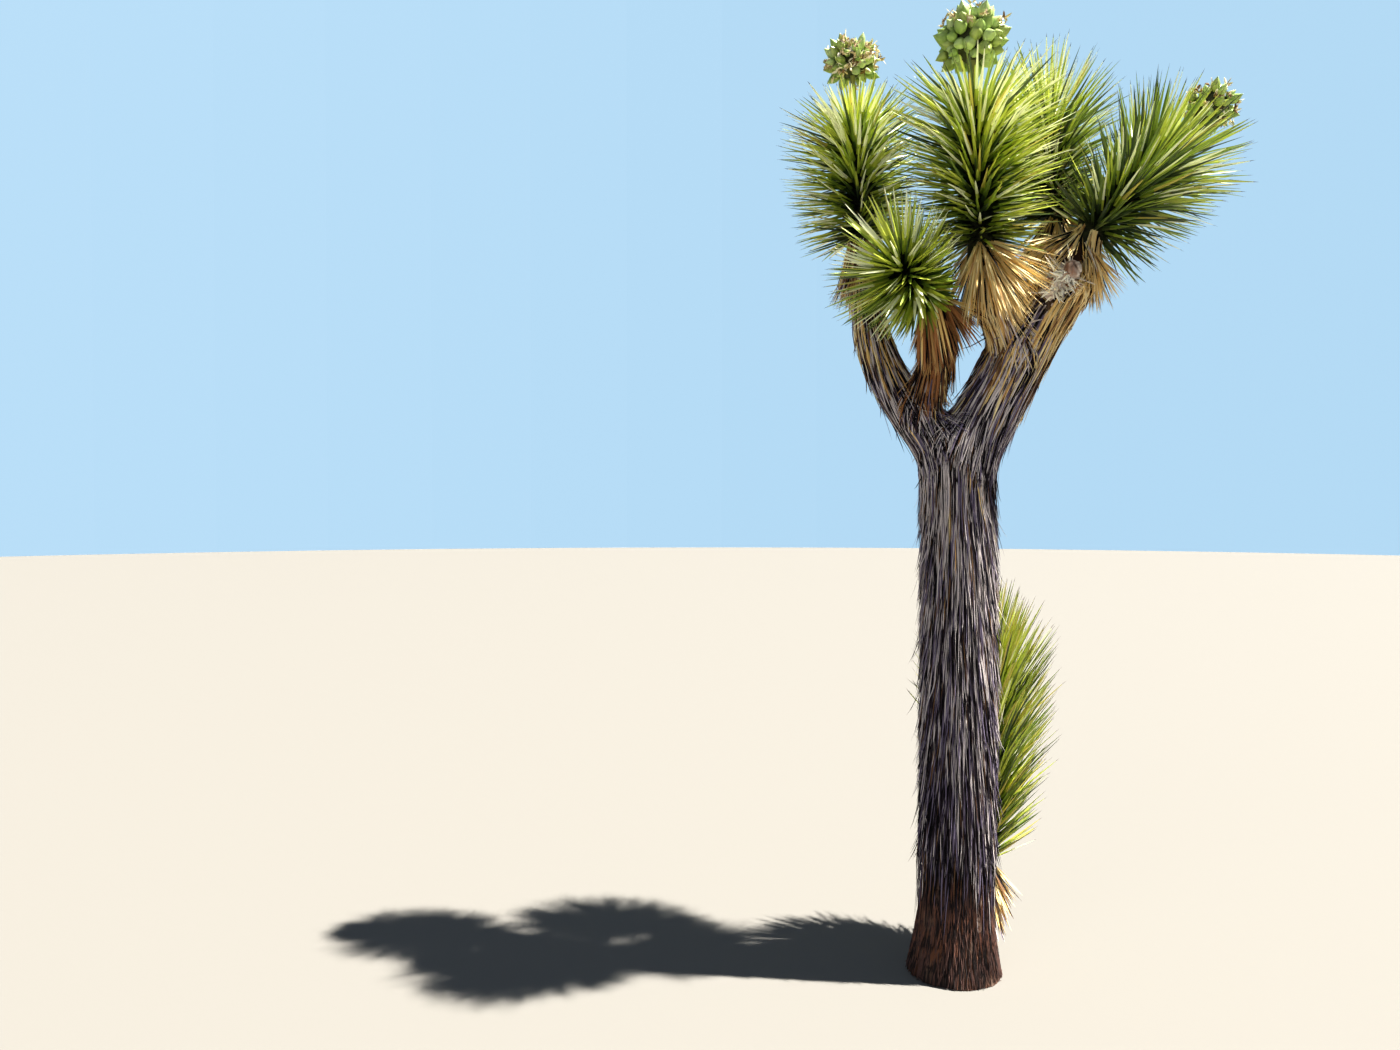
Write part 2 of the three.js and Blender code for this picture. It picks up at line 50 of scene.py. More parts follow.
# The frame's sizes.
FORK_HEIGHT = 1.79
FORK_OFFSET = 0.006
TRUNK_BOW = 0.026
TRUNK_RADIUS = 0.124
FLARE_RADIUS = 0.158
BOUGH_RADIUS = 0.117
STEM_RADIUS = 0.054
LEAF_LENGTH = 0.285
CORE_RADIUS = 0.094
FRUIT_REACH = 0.084
STALK_RADIUS = 0.014
FRUIT_FOOT = 0.54
CLUSTER_ROOM = 0.01
FOOT_DEPTH = 0.04
FIRST_LEAF = 0.022
LAST_LEAF = 0.008
GREEN_FOOT = 0.35
SKIRT_FROM = 0.2
SKIRT_TO = 0.9
DEAD_GROWTH = 0.1
FACE_TILT = 0.3
LEAF_STEP = 0.1
LEAST_LEAF = 0.45
HALFWAY = 0.55
TIP_ROOM = 0.004
HALFWAY_ROOM = 0.002
LOWEST_TIP = 0.01
CROTCH = 0.05

# How much leaves vary: in the turn (radians), in the lean (degrees), and in the share of length.
TURN_SPREAD = 0.4
LEAN_SPREAD = 14
LENGTH_SPREAD = 0.22

# How many leaves stand for one of the frame's, and their size in life. Widths vary, in shares of the
# usual one, and a dead leaf's depth is a share of its own width.
GREEN_FACTOR = 6
DEAD_FACTOR = 11
GREEN_WIDTH = 0.0112
GREEN_WIDTHS = (0.8, 1.2)
GREEN_DEPTH = 0.0036
DEAD_WIDTH = 0.0075
DEAD_WIDTHS = (0.6, 1.25)
DEAD_DEPTH = 0.3

# How green leaves bend, on average and how far from it: up, and along the head's axis.
GREEN_RISE = (0.03, 0.06)
GREEN_BEND = (0.03, 0.07)

# The least height of leaves, and how far those of each kind turn about their own length.
LOWEST = 0.004
LOWEST_SKIRT = 0.006
GREEN_ROLL = 0.35
SKIRT_ROLL = 0.6
THATCH_ROLL = 0.4

# Profiles are lists of [position, value], with straight lines between.
OPEN_LENGTH = [[0, 0.8], [0.35, 0.92], [0.7, 1], [1, 0.95]]
FORWARD_LENGTH = [[0, 0.55], [0.3, 0.74], [0.6, 1], [1, 0.95]]
FRUITING_LENGTH = [[0, 0.76], [0.35, 0.92], [0.7, 1], [0.88, 1.06], [0.95, 0.8], [1, 0.55]]
LEANING_LENGTH = [[0, 0.7], [0.25, 0.76], [0.5, 0.88], [0.75, 1.02], [0.86, 0.92], [0.94, 0.62], [1, 0.45]]
SHOOT_LENGTH = [[0, 0.52], [0.15, 0.66], [0.45, 0.96], [0.8, 1], [1, 0.85]]
OPEN_LEAN = [[0, 106], [0.3, 90], [0.6, 75], [0.84, 60], [0.94, 42], [1, 10]]
FRUITING_LEAN = [[0, 106], [0.3, 90], [0.6, 78], [0.84, 67], [0.94, 57], [1, 36]]
LEANING_LEAN = [[0, 100], [0.25, 76], [0.5, 61], [0.75, 49], [0.9, 41], [1, 22]]
SHOOT_LEAN = [[0, 56], [0.12, 44], [0.5, 38], [0.75, 33], [0.9, 23], [1, 5]]
DEAD_LEAN = [[0, 166], [0.5, 152], [1, 128]]
WIDE_DEAD_LEAN = [[0, 162], [0.5, 144], [1, 120]]
CLOSE_DEAD_LEAN = [[0, 170], [0.5, 160], [1, 146]]
CORE_PROFILE = [[0, 0.72], [0.3, 1], [0.72, 0.84], [1, 0.36]]
TRUNK_PROFILE = [
    [-FOOT_DEPTH, FLARE_RADIUS + 0.008],
    [0, FLARE_RADIUS],
    [0.07, FLARE_RADIUS - 0.014],
    [0.19, TRUNK_RADIUS + 0.002],
    [0.34, TRUNK_RADIUS - 0.008],
    [0.56, TRUNK_RADIUS],
    [1.1, TRUNK_RADIUS + 0.001],
    [1.6, TRUNK_RADIUS - 0.001],
    [FORK_HEIGHT, TRUNK_RADIUS - 0.003],
]

# The shoot stands against the flare of the trunk, sunk into it by a little.
SHOOT_BEARING = radians(44)
SHOOT_RADIUS = 0.056
SHOOT_SUNK = 0.005
SHOOT_REACH = FLARE_RADIUS + SHOOT_RADIUS - SHOOT_SUNK
SHOOT_FOOT = np.array([np.cos(SHOOT_BEARING), np.sin(SHOOT_BEARING), 0]) * SHOOT_REACH

# How finely the curves of limbs are measured and drawn.
CURVE_STEPS = 400
TRUNK_STATIONS = 48
LIMB_STATIONS = 24

# Limbs are cubic curves, as in the frame: foot, direction there, neck, direction there, how far
# the curve keeps to each direction, and the radius at foot and neck.
LIMBS = {
    "bough_right": [
        (FORK_OFFSET, 0, FORK_HEIGHT - 0.04), (0.56, 0, 0.83),
        (0.385, 0, 2.4), (0.55, 0, 0.835),
        (0.165, 0.25), (BOUGH_RADIUS, BOUGH_RADIUS - 0.027),
    ],
    "bough_left": [
        (-0.02, 0, FORK_HEIGHT + 0.01), (-0.8, 0, 0.6),
        (-0.296, 0.14, 2.43), (-0.055, 0.01, 1),
        (0.25, 0.25), (0.082, STEM_RADIUS),
    ],
    "stem_right": [
        (0.345, 0, 2.335), (0.4, 0, 0.917),
        (0.412, 0.005, 2.49), (0.695, 0.06, 0.716),
        (0.06, 0.05), (0.084, STEM_RADIUS + 0.004),
    ],
    "stem_centre": [
        (0.19, -0.015, 2.09), (-0.15, -0.3, 0.94),
        (0.064, -0.095, 2.36), (-0.05, -0.01, 1),
        (0.11, 0.06), (0.07, STEM_RADIUS),
    ],
    "stem_back": [
        (0.3, 0.02, 2.26), (0.2, 0.75, 0.63),
        (0.434, 0.226, 2.545), (-0.11, 0.02, 1),
        (0.13, 0.13), (0.066, STEM_RADIUS - 0.004),
    ],
    "stem_front": [
        (-0.118, 0, 1.89), (0, -0.12, 1),
        (-0.076, -0.088, 2.256), (-0.66, -0.52, 0.54),
        (0.15, 0.09), (0.06, STEM_RADIUS - 0.008),
    ],
    "dead_stub": [
        (0.29, -0.052, 2.318), (0.5, -0.5, 0.7),
        (0.384, -0.116, 2.41), (0.8, -0.25, 0.54),
        (0.045, 0.045), (0.046, 0.026),
    ],
    "shoot_stem": [
        SHOOT_FOOT - FOOT_DEPTH * UP, UP,
        SHOOT_FOOT + (0.002, 0.008, 0.11), (0.01, 0.045, 1),
        (0.06, 0.04), (SHOOT_RADIUS + 0.004, STEM_RADIUS - 0.008),
    ],
}

# Heads, as in the frame. `gold`, `cool` or `young` is how far a head's green leaves lean to those
# tints, `straw` is how fresh its dead ones are, `sag` is how strongly they turn down, and `kind` names
# other tints for them. `crowd` multiplies the number of green leaves. Leaves that point to the right,
# into the crown, are shorter by up to the share `crowding`. `husks_from` is how high up a cluster its
# husks start.
HEADS = {
    "left": dict(
        limb="bough_left", collar=0.11, core=0.425, girth=0.92, leaf=0.88, greens=116, deads=28,
        dead_length=0.66, sag=1.6, gold=0.35, straw=0.3, seed=11, lean=FRUITING_LEAN,
        lengths=FRUITING_LENGTH,
        fruit=dict(
            stalk=0.147, half_height=0.072, radius=0.098, size=0.8, count=60, husks=80,
            length=0.056, width=0.03,
        ),
    ),
    "front": dict(
        limb="stem_front", collar=0.055, core=0.195, girth=0.8, leaf=0.9, greens=84, deads=38,
        dead_length=0.86, dead_lean=CLOSE_DEAD_LEAN, sag=2.6, gold=0.8, straw=0.4, seed=23,
        lengths=FORWARD_LENGTH, crowding=0.45, kind="beard",
    ),
    "centre": dict(
        limb="stem_centre", collar=0.11, core=0.455, girth=1.05, leaf=1.05, greens=134, deads=50,
        dead_length=0.78, dead_lean=WIDE_DEAD_LEAN, sag=0, gold=0.85, straw=1, seed=37,
        lean=FRUITING_LEAN, lengths=FRUITING_LENGTH,
        fruit=dict(
            stalk=0.144, half_height=0.084, radius=0.104, size=1, count=84, husks=26,
            length=0.058, width=0.042, husks_from=0.2,
        ),
    ),
    "back": dict(
        limb="stem_back", collar=0.1, core=0.375, girth=0.95, leaf=1.05, greens=106, deads=28,
        dead_length=0.78, sag=0.1, cool=0.35, straw=0.6, seed=41,
    ),
    "right": dict(
        limb="stem_right", collar=0.055, core=0.415, girth=0.95, leaf=1.08, greens=116, deads=34,
        dead_length=0.7, dead_lean=CLOSE_DEAD_LEAN, sag=0.9, cool=0.8, straw=0.9, seed=53,
        lean=LEANING_LEAN, lengths=LEANING_LENGTH,
        fruit=dict(
            stalk=0.15, half_height=0.068, radius=0.078, size=0.8, count=44, husks=55,
            length=0.05, width=0.03,
        ),
    ),
    "shoot": dict(
        limb="shoot_stem", collar=0.2, core=0.72, girth=0.72, leaf=1.35, greens=120, deads=26,
        dead_length=0.32, sag=0.15, young=1, straw=0.4, seed=67, lean=SHOOT_LEAN, lengths=SHOOT_LENGTH,
        crowd=1.5,
    ),
}

# A skirt's leaves start at this share of the neck's radius, keep this far off the wood, and may
# stray this far into the room of another head.
SKIRT_SUNK = 0.8
SKIRT_LIFT = 0.002
SKIRT_SLACK = 0.06

# The thatch hangs down to a ragged fringe over the bare foot of the trunk, and the bark sinks away
# under it within a short height. Its leaves start this deep in the frame's wood, lie in a layer about
# the surface of it, and hang no further than this past a limb's foot.
FRINGE_HEIGHT = 0.315
FRINGE_BLEND = 0.1
THATCH_DEPTH = 0.014
THATCH_LAYER = (-0.018, -0.0035)
FRINGE_LAYER = (0.001, 0.007)
THATCH_OVERHANG = 0.06

# They vary this much in their turn, in radians, and lean out this far. Their depth is a share of
# their width. Where a coat turns to the plumb line, this power of the height is the share of the
# limb's own direction that is left.
THATCH_TURN = 0.6
THATCH_LEAN = 0.04
STRAND_DEPTH = 0.4
PLUMB_POWER = 0.7

# The trunk's thatch lies in the frame's tiers. The tips of each end near one height, a little
# further out than the roots below, and every other tuft of a tier stands out and hangs lower.
LOWEST_TIER = 0.38
TIER_COUNT = 13
TIER_HEIGHT = 0.096
TIER_LIP = 0.018
TIP_RISE = 0.007
TUFT = 0.005
TUFTS = 8
TIER_SPREAD = 0.03

# A few leaves of the thatch stray: this share of them stands off by up to this far.
STRAY_SHARE = 0.04
STRAY_RISE = 0.035

# Sections of a blade as [across, above] in shares of half the width and of the depth.
LEAF_SECTION = [[1, 0.3], [0, 0.05], [-1, 0.3], [0, -0.8]]
STRAND_SECTION = [[1, 0], [0, 1], [-1, 0]]


class Blade:
    """A blade's form: its section, and stations along it of [place, width] in shares of its own.

    The last station is the point.
    """

    def __init__(self, section, *stations):
        self.section = np.array(section, float)
        self.places, self.outline = np.array(stations, float).T


GREEN_LEAF = Blade(
    LEAF_SECTION, [0, 1.5], [0.17, 1.1], [0.38, 1], [0.62, 0.78], [0.86, 0.4], [0.945, 0.18], [1, 0]
)
DEAD_LEAF = Blade(LEAF_SECTION, [0, 1.6], [0.12, 1.15], [0.4, 1], [0.72, 0.7], [0.92, 0.3], [1, 0])
STRAND = Blade(STRAND_SECTION, [0, 1], [0.25, 1], [0.55, 0.85], [0.85, 0.5], [1, 0])
FRUIT_STEM = Blade(STRAND_SECTION, [0, 1], [0.25, 1], [0.55, 1], [0.85, 1], [1, 1])
PETAL = Blade(STRAND_SECTION, [0, 0.5], [0.35, 1], [0.75, 0.8], [1, 0])


def linear(tint):
    """A tint on a screen's scale of 0 to 255, as linear light for a shader."""
    shares = np.array(tint) / 255
    light = np.where(shares <= 0.04045, shares / 12.92, ((shares + 0.055) / 1.055) ** 2.4)
    return (*light.tolist(), 1.0)


def unit(vectors):
    return vectors / np.linalg.norm(vectors, axis=-1, keepdims=True)


def value_at(profile, positions):
    places, values = np.array(profile, float).T
    return np.interp(positions, places, values)


def mix(start, end, share):
    return start + (end - start) * share


# Limbs and the room round them.


def bezier(control, share):
    """Points on a Bezier curve of any degree."""
    points = [np.outer(np.ones_like(share), point) for point in control]
    while len(points) > 1:
        points = [mix(a, b, share[:, None]) for a, b in zip(points, points[1:])]
    return points[0]


def even_points(control, count):
    """Points along a Bezier curve, evenly spaced by length."""
    fine = bezier(control, np.linspace(0, 1, CURVE_STEPS))
    reach = np.r_[0, np.cumsum(np.linalg.norm(np.diff(fine, axis=0), axis=1))]
    wanted = np.linspace(0, reach[-1], count)
    return np.stack([np.interp(wanted, reach, fine[:, axis]) for axis in range(3)], axis=1)


def circle(count):
    return np.arange(count) / count * 2 * np.pi


def around(along, turns):
    """Directions square to `along` at some turns, the same way round everywhere on the tree."""
    across = unit(np.cross(along, SIDEWAYS))
    out = np.cross(across, along)
    return out * np.cos(turns)[..., None] + across * np.sin(turns)[..., None]


class Limb:
    """A tapering limb: points along its middle, the radius at each, and where its neck heads."""

    def __init__(self, points, radii, heading=UP):
        self.points = points
        self.radii = radii
        self.heading = heading
        self.length = np.linalg.norm(np.diff(points, axis=0), axis=1).sum()

    def at(self, share):
        """The middle, the direction and the radius at shares of the length."""
        places = np.linspace(0, 1, len(self.points))
        tangents = unit(np.gradient(self.points, axis=0))
        middle, along = (
            np.stack([np.interp(share, places, values[:, axis]) for axis in range(3)], axis=-1)
            for values in (self.points, tangents)
        )
        return middle, unit(along), np.interp(share, places, self.radii)

    def distance(self, points):
        """How far points lie from the limb's surface, below zero inside it."""
        start, span = self.points[:-1], np.diff(self.points, axis=0)
        offset = points[:, None] - start
        share = np.clip((offset * span).sum(-1) / (span**2).sum(-1), 0, 1)
        gap = np.linalg.norm(offset - share[..., None] * span, axis=-1)
        return (gap - self.radii[:-1] - share * np.diff(self.radii)).min(axis=1)


def trunk_limb():
    control = [(0, 0, -FOOT_DEPTH), (TRUNK_BOW, 0, FORK_HEIGHT * 0.45), (FORK_OFFSET, 0, FORK_HEIGHT)]
    points = even_points(control, TRUNK_STATIONS)
    return Limb(points, value_at(TRUNK_PROFILE, points[:, 2]))


def curved_limb(foot, leaves, neck, heading, bends, radii):
    foot, leaves, neck, heading = (np.array(values, float) for values in (foot, leaves, neck, heading))
    control = [foot, foot + unit(leaves) * bends[0], neck - unit(heading) * bends[1], neck]
    return Limb(even_points(control, LIMB_STATIONS), np.linspace(*radii, LIMB_STATIONS), unit(heading))


limbs = {"trunk": trunk_limb()}
limbs |= {name: curved_limb(*shape) for name, shape in LIMBS.items()}


def wood_distance(points):
    """How far points lie from the wood, whose limbs join in smooth crotches."""
    nearest = np.full(len(points), np.inf)
    for limb in limbs.values():
        other = limb.distance(points)
        known = np.where(np.isfinite(nearest), nearest, other + CROTCH)
        share = np.clip(0.5 + 0.5 * (other - known) / CROTCH, 0, 1)
        nearest = mix(other, known, share) - CROTCH * share * (1 - share)
    return nearest


def outward(points, step=0.002):
    """How far points lie from the wood, and the direction away from it at each."""
    here = wood_distance(points)
    ahead = [wood_distance(points + step * axis) - here for axis in np.eye(3)]
    return here, unit(np.stack(ahead, axis=-1) + 1e-9)


# Meshes.


class Pile:
    """Vertices and faces that become one mesh. Each face has the number of its material."""

    def __init__(self):
        self.count = 0
        self.vertices = []
        self.faces = []
        self.looks = []

    def add(self, vertices, *face_sets):
        """Adds vertices, and sets of faces with like numbers of corners, each with its looks."""
        for faces, looks in face_sets:
            self.faces.append(faces + self.count)
            self.looks.append(np.broadcast_to(looks, len(faces)))
        self.vertices.append(vertices)
        self.count += len(vertices)


def make_piece(name, pile, materials, replaced=(), smooth=False, relief=None):
    """One mesh that rides on the tree's body, with the given materials, in place of the parts it replaces.
    """
    mesh = bpy.data.meshes.new(name)
    vertices = np.concatenate(pile.vertices)
    corners = np.concatenate([faces.ravel() for faces in pile.faces])
    sizes = np.concatenate([np.full(len(faces), faces.shape[1]) for faces in pile.faces])
    mesh.vertices.add(len(vertices))
    mesh.vertices.foreach_set("co", vertices.ravel())
    mesh.loops.add(len(corners))
    mesh.loops.foreach_set("vertex_index", corners.astype(np.int32))
    mesh.polygons.add(len(sizes))
    starts = np.r_[0, np.cumsum(sizes)[:-1]]
    mesh.polygons.foreach_set("loop_start", starts.astype(np.int32))
    for material in materials:
        mesh.materials.append(material)
    mesh.polygons.foreach_set("material_index", np.concatenate(pile.looks).astype(np.int32))
    mesh.polygons.foreach_set("use_smooth", np.full(len(sizes), smooth))
    mesh.update(calc_edges=True)
    if relief is not None:
        mesh.attributes.new("relief", "FLOAT", "POINT").data.foreach_set("value", relief)
    piece = bpy.data.objects.new(name, mesh)
    bpy.context.scene.collection.objects.link(piece)
    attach(piece, "root")
    if replaced:
        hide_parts(*replaced)


def strip_faces(stations, sides):
    """The faces of one blade: quads between its rings, triangles at its point, and its foot."""
    side = np.arange(sides)
    turned = (side + 1) % sides
    ring = np.stack([side, turned, turned + sides, side + sides], axis=1)
    last = (stations - 2) * sides
    quads = np.concatenate([ring + start for start in range(0, last, sides)])
    point = np.stack([side + last, turned + last, np.full(sides, last + sides)], axis=1)
    return quads, point, side[::-1][None]


def add_blades(pile, blade, paths, above, widths, depths, looks, others=()):
    """Blades along paths of shape [blade, station, axis]. `above` is where their upper faces look.

    `others` are pairs of the place of a stretch between two stations and that stretch's own looks.
    """
    count, stations = paths.shape[:2]
    sides = len(blade.section)
    along = unit(np.gradient(paths, axis=1))
    across = unit(np.cross(above, along))
    upper = np.cross(along, across)
    half = (widths[:, None] * blade.outline / 2)[:, :-1, None, None]
    thick = (depths[:, None] * np.minimum(blade.outline, 1))[:, :-1, None, None]
    rings = (
        paths[:, :-1, None]
        + across[:, :-1, None] * half * blade.section[:, 0][:, None]
        + upper[:, :-1, None] * thick * blade.section[:, 1][:, None]
    )
    vertices = np.concatenate([rings.reshape(count, -1, 3), paths[:, -1:]], axis=1)
    starts = (np.arange(count) * vertices.shape[1])[:, None, None]
    quads, point, foot = strip_faces(stations, sides)
    stretches = np.repeat(looks[:, None], stations - 1, axis=1)
    for stretch, other in others:
        stretches[:, stretch] = other
    pile.add(
        vertices.reshape(-1, 3),
        ((quads + starts).reshape(-1, 4), np.repeat(stretches[:, :-1], sides)),
        ((point + starts).reshape(-1, 3), np.repeat(stretches[:, -1], sides)),
        ((foot + starts).reshape(-1, sides), looks),
    )


def grown_paths(blade, feet, heading, lengths, bends):
    """Paths that start at their feet and turn towards their bends as they go."""
    points = [feet]
    for step in np.diff(blade.places):
        heading = unit(heading + bends * step)
        points.append(points[-1] + heading * (lengths * step)[:, None])
    return np.stack(points, axis=1)


def draped_paths(blade, feet, heading, lengths, lift, rise, fall, hug=0.0, lowest=LOWEST):
    """Paths that hang along the wood: each keeps its lift over it, and rises from it to its point.

    `fall` is how far they turn down at each station, and `hug` is how much of any greater distance
    from the wood each station takes back.
    """
    points = [feet]
    for start, end in zip(blade.places, blade.places[1:]):
        heading = unit(heading - np.asarray(fall)[..., None] * UP)
        point = points[-1] + heading * (lengths * (end - start))[:, None]
        distance, away = outward(point)
        gap = lift + rise * end**2 - distance
        point = point + away * np.where(gap > 0, gap, gap * hug)[:, None]
        heading = unit(point - points[-1])
        points.append(point)
    paths = np.stack(points, axis=1)
    paths[..., 2] = np.maximum(paths[..., 2], lowest)
    return paths


def off_wood(paths):
    """The direction away from the wood all along each path."""
    return outward(paths.reshape(-1, 3))[1].reshape(paths.shape)


def rolled(random, above, paths, width):
    """Where blades look that looked above, after each is turned at random about its path."""
    angles = random.normal(0, width, len(paths))[:, None, None]
    aside = np.cross(unit(np.gradient(paths, axis=1)), above)
    return above * np.cos(angles) + aside * np.sin(angles)


def spread(random, count, width):
    return (random.random(count) - 0.5) * width


def deal(random, ages, table):
    """Numbers of tints for leaves of these ages, from rows of an age and the tints' shares at it."""
    places, *tints = zip(*table)
    shares = np.stack([np.interp(ages, places, tint) for tint in tints], axis=1)
    reached = np.cumsum(shares / shares.sum(axis=1, keepdims=True), axis=1)
    return (random.random(len(ages))[:, None] > reached[:, :-1]).sum(axis=1)


def wrapped_noise(random, rows, columns, up_cells, around_cells):
    """Smooth heights from -1 to 1 on a grid that closes round a limb, with so many cells each way.

    `rows` are shares of the limb's length, and `columns` is how many columns there are.
    """
    values = random.uniform(-1, 1, (up_cells + 2, around_cells))
    v = rows * up_cells
    u = np.arange(columns) / columns * around_cells
    low_v, low_u = np.floor(v).astype(int), np.floor(u).astype(int)
    share_v, share_u = v - low_v, u - low_u
    share_v = (share_v**2 * (3 - 2 * share_v))[:, None]
    share_u = (share_u**2 * (3 - 2 * share_u))[None]
    corner = [[values[low_v + i][:, (low_u + j) % around_cells] for j in (0, 1)] for i in (0, 1)]
    return mix(mix(*corner[0], share_u), mix(*corner[1], share_u), share_v)


# Materials. Tints are on a screen's scale of 0 to 255.

BLACK = (0, 0, 0)
WHITE = (255, 255, 255)

# A mix node has sockets of one name for each kind of value. These are the numbers of those for tints.
TINT_A, TINT_B, TINT_RESULT = 6, 7, 2


def new_material(name, tint, roughness):
    material = bpy.data.materials.new(name)
    material.use_nodes = True
    shader = material.node_tree.nodes["Principled BSDF"]
    shader.inputs["Base Color"].default_value = linear(tint)
    shader.inputs["Roughness"].default_value = roughness
    return material, shader


def add_node(material, kind, values=None, **links):
    """A node with some values set, and its inputs linked by name."""
    node = material.node_tree.nodes.new(kind)
    for key, value in (values or {}).items():
        if key in node.inputs:
            node.inputs[key].default_value = value
        else:
            setattr(node, key, value)
    for key, socket in links.items():
        material.node_tree.links.new(socket, node.inputs[key])
    return node


def grain(material, scale, stretch, detail=3.0, roughness=0.55):
    """A noise drawn out along the height, by its place on the tree."""
    place = add_node(material, "ShaderNodeTexCoord").outputs["Object"]
    sizes = (scale, scale, scale * stretch)
    mapping = add_node(material, "ShaderNodeMapping", {"Scale": sizes}, Vector=place)
    noise = add_node(
        material, "ShaderNodeTexNoise", {"Scale": 1.0, "Detail": detail, "Roughness": roughness},
        Vector=mapping.outputs["Vector"],
    )
    return noise.outputs["Fac"]


def ramp(material, factor, stops):
    """A ramp from (position, tint) stops."""
    node = add_node(material, "ShaderNodeValToRGB", Fac=factor)
    elements = node.color_ramp.elements
    while len(elements) < len(stops):
        elements.new(0.5)
    for element, (position, tint) in zip(elements, stops):
        element.position = position
        element.color = linear(tint)
    return node.outputs["Color"]


def link_input(material, shader, name, socket):
    material.node_tree.links.new(socket, shader.inputs[name])


def ranged(material, factor, low, high):
    node = add_node(material, "ShaderNodeMapRange", {"To Min": low, "To Max": high}, Value=factor)
    return node.outputs["Result"]


def leaf_material(name, tint, dull, shiny, gloss=0.5):
    """A plain base colour. How shiny it is varies in fine streaks."""
    material, shader = new_material(name, tint, dull)
    shader.inputs["Specular IOR Level"].default_value = gloss
    link_input(material, shader, "Roughness", ranged(material, grain(material, 90, 0.4), shiny, dull))
    return material


def bumped(material, shader, height, strength, distance):
    bump = add_node(material, "ShaderNodeBump", {"Strength": strength, "Distance": distance}, Height=height)
    link_input(material, shader, "Normal", bump.outputs["Normal"])


def bark_material(name, crack, body, ridge, rust):
    """Fibrous bark: dark in its cracks, worn pale on its ridges, and rusty in patches."""
    material, shader = new_material(name, body, 0.9)
    relief = add_node(material, "ShaderNodeAttribute", {"attribute_name": "relief"}).outputs["Fac"]
    fibres = grain(material, 130, 0.09, detail=5, roughness=0.65)
    patches = grain(material, 14, 0.5, detail=3)
    mixed = add_node(material, "ShaderNodeMix", {"data_type": "FLOAT", "Factor": 0.45}, A=relief, B=fibres)
    base = ramp(material, mixed.outputs["Result"], [(0.28, crack), (0.5, body), (0.72, ridge)])
    rusty = ramp(material, mixed.outputs["Result"], [(0.3, crack), (0.6, rust)])
    shares = ramp(material, patches, [(0.46, BLACK), (0.62, WHITE)])
    toned = add_node(material, "ShaderNodeMix", {"data_type": "RGBA"}, Factor=shares)
    material.node_tree.links.new(base, toned.inputs[TINT_A])
    material.node_tree.links.new(rusty, toned.inputs[TINT_B])
    link_input(material, shader, "Base Color", toned.outputs[TINT_RESULT])
    bumped(material, shader, fibres, 0.6, 0.004)
    return material


def mottled_material(name, low, high, scale=40, stretch=0.8, dull=0.36, bump=0.1):
    """Two tints that run into each other in soft patches."""
    material, shader = new_material(name, low, dull)
    patches = grain(material, scale, stretch)
    link_input(material, shader, "Base Color", ramp(material, patches, [(0.35, low), (0.65, high)]))
    bumped(material, shader, grain(material, scale * 4, stretch), bump, 0.002)
    return material


# The palest tint is partly a pale leaf and partly a painted glint; the deepest is partly a dark leaf and
# partly painted shade.
GREENS = {
    "leaf_pale_and_glint": (250, 252, 214),
    "leaf_lime": (199, 208, 86),
    "leaf_green": (153, 173, 58),
    "leaf_olive": (104, 125, 41),
    "leaf_deep_and_shade": (50, 71, 24),
    "leaf_gold": (206, 192, 97),
}
green_materials = [leaf_material(name, tint, 0.48, 0.36, gloss=0.9) for name, tint in GREENS.items()]
# The leaves' feet are a near-black green: painted shade in the head's core.
leaf_foot_painted_shade = leaf_material("leaf_foot_painted_shade", (41, 52, 19), 0.55, 0.4)
leaf_spine = leaf_material("leaf_spine", (86, 56, 37), 0.6, 0.45)
# The stem inside each head is near-black: painted shade in the head's core.
leaf_shaft_painted_shade = mottled_material(
    "leaf_shaft_painted_shade", (28, 33, 15), (54, 58, 28), scale=60, stretch=0.5, dull=0.85, bump=0.4
)

# The tint of each leaf's inner stretch: a darker one, painted shade from the leaves around it, by the number
# of its own.
SHADED = np.array([1, 2, 3, 4, 4, 2])

DEAD = {
    "straw_pale": (244, 224, 174),
    "straw": (232, 200, 136),
    "tan": (192, 154, 104),
    "brown": (118, 90, 65),
    "ash": (206, 196, 194),
    # The lilac grey, grey brown and umber tints are partly old leaves and partly painted shade: the lilac
    # cast of sky-lit shade and the dark gaps.
    "lilac_grey_and_shade": (123, 113, 134),
    "grey_brown_and_shade": (54, 44, 52),
    "umber": (16, 10, 16),
    "russet": (170, 120, 80),
}
dead_materials = [leaf_material(name, tint, 0.95, 0.75, gloss=0.25) for name, tint in DEAD.items()]

# Shares of the dead tints, after the age at the head of each row: 0 is fresh by a head's green leaves, and 1
# is at the foot of the trunk, where the dark lilac and umber tints are partly painted shade. A tint without
# a share isn't used.
DEAD_SHARES = [
    [0, 0.56, 0.24, 0.05, 0.05, 0, 0, 0.01, 0.09],
    [0.25, 0.24, 0.24, 0.16, 0.14, 0.08, 0, 0.04, 0.1],
    [0.5, 0.03, 0.04, 0.04, 0.12, 0.34, 0.17, 0.1, 0.16],
    [0.75, 0, 0, 0, 0.05, 0.4, 0.2, 0.11, 0.24],
    [1, 0, 0, 0, 0.01, 0.03, 0.2, 0.27, 0.49],
]

# The same for the long dead leaves under the front head, which are brown from end to end.
BEARD_SHARES = [
    [0, 0.05, 0.12, 0.2, 0.06, 0, 0, 0.04, 0.21, 0.32],
    [1, 0, 0.03, 0.12, 0.14, 0.02, 0.03, 0.09, 0.27, 0.3],
]

# The same for the flakes of old bark on the dead stub, which are bleached, and whitened further as painted
# sunlight where the crown shades them.
FLAKE_SHARES = [
    [0, 0.7, 0.25, 0.05],
    [1, 0.45, 0.35, 0.2],
]
SHARES_BY_KIND = {"beard": BEARD_SHARES, "flakes": FLAKE_SHARES}

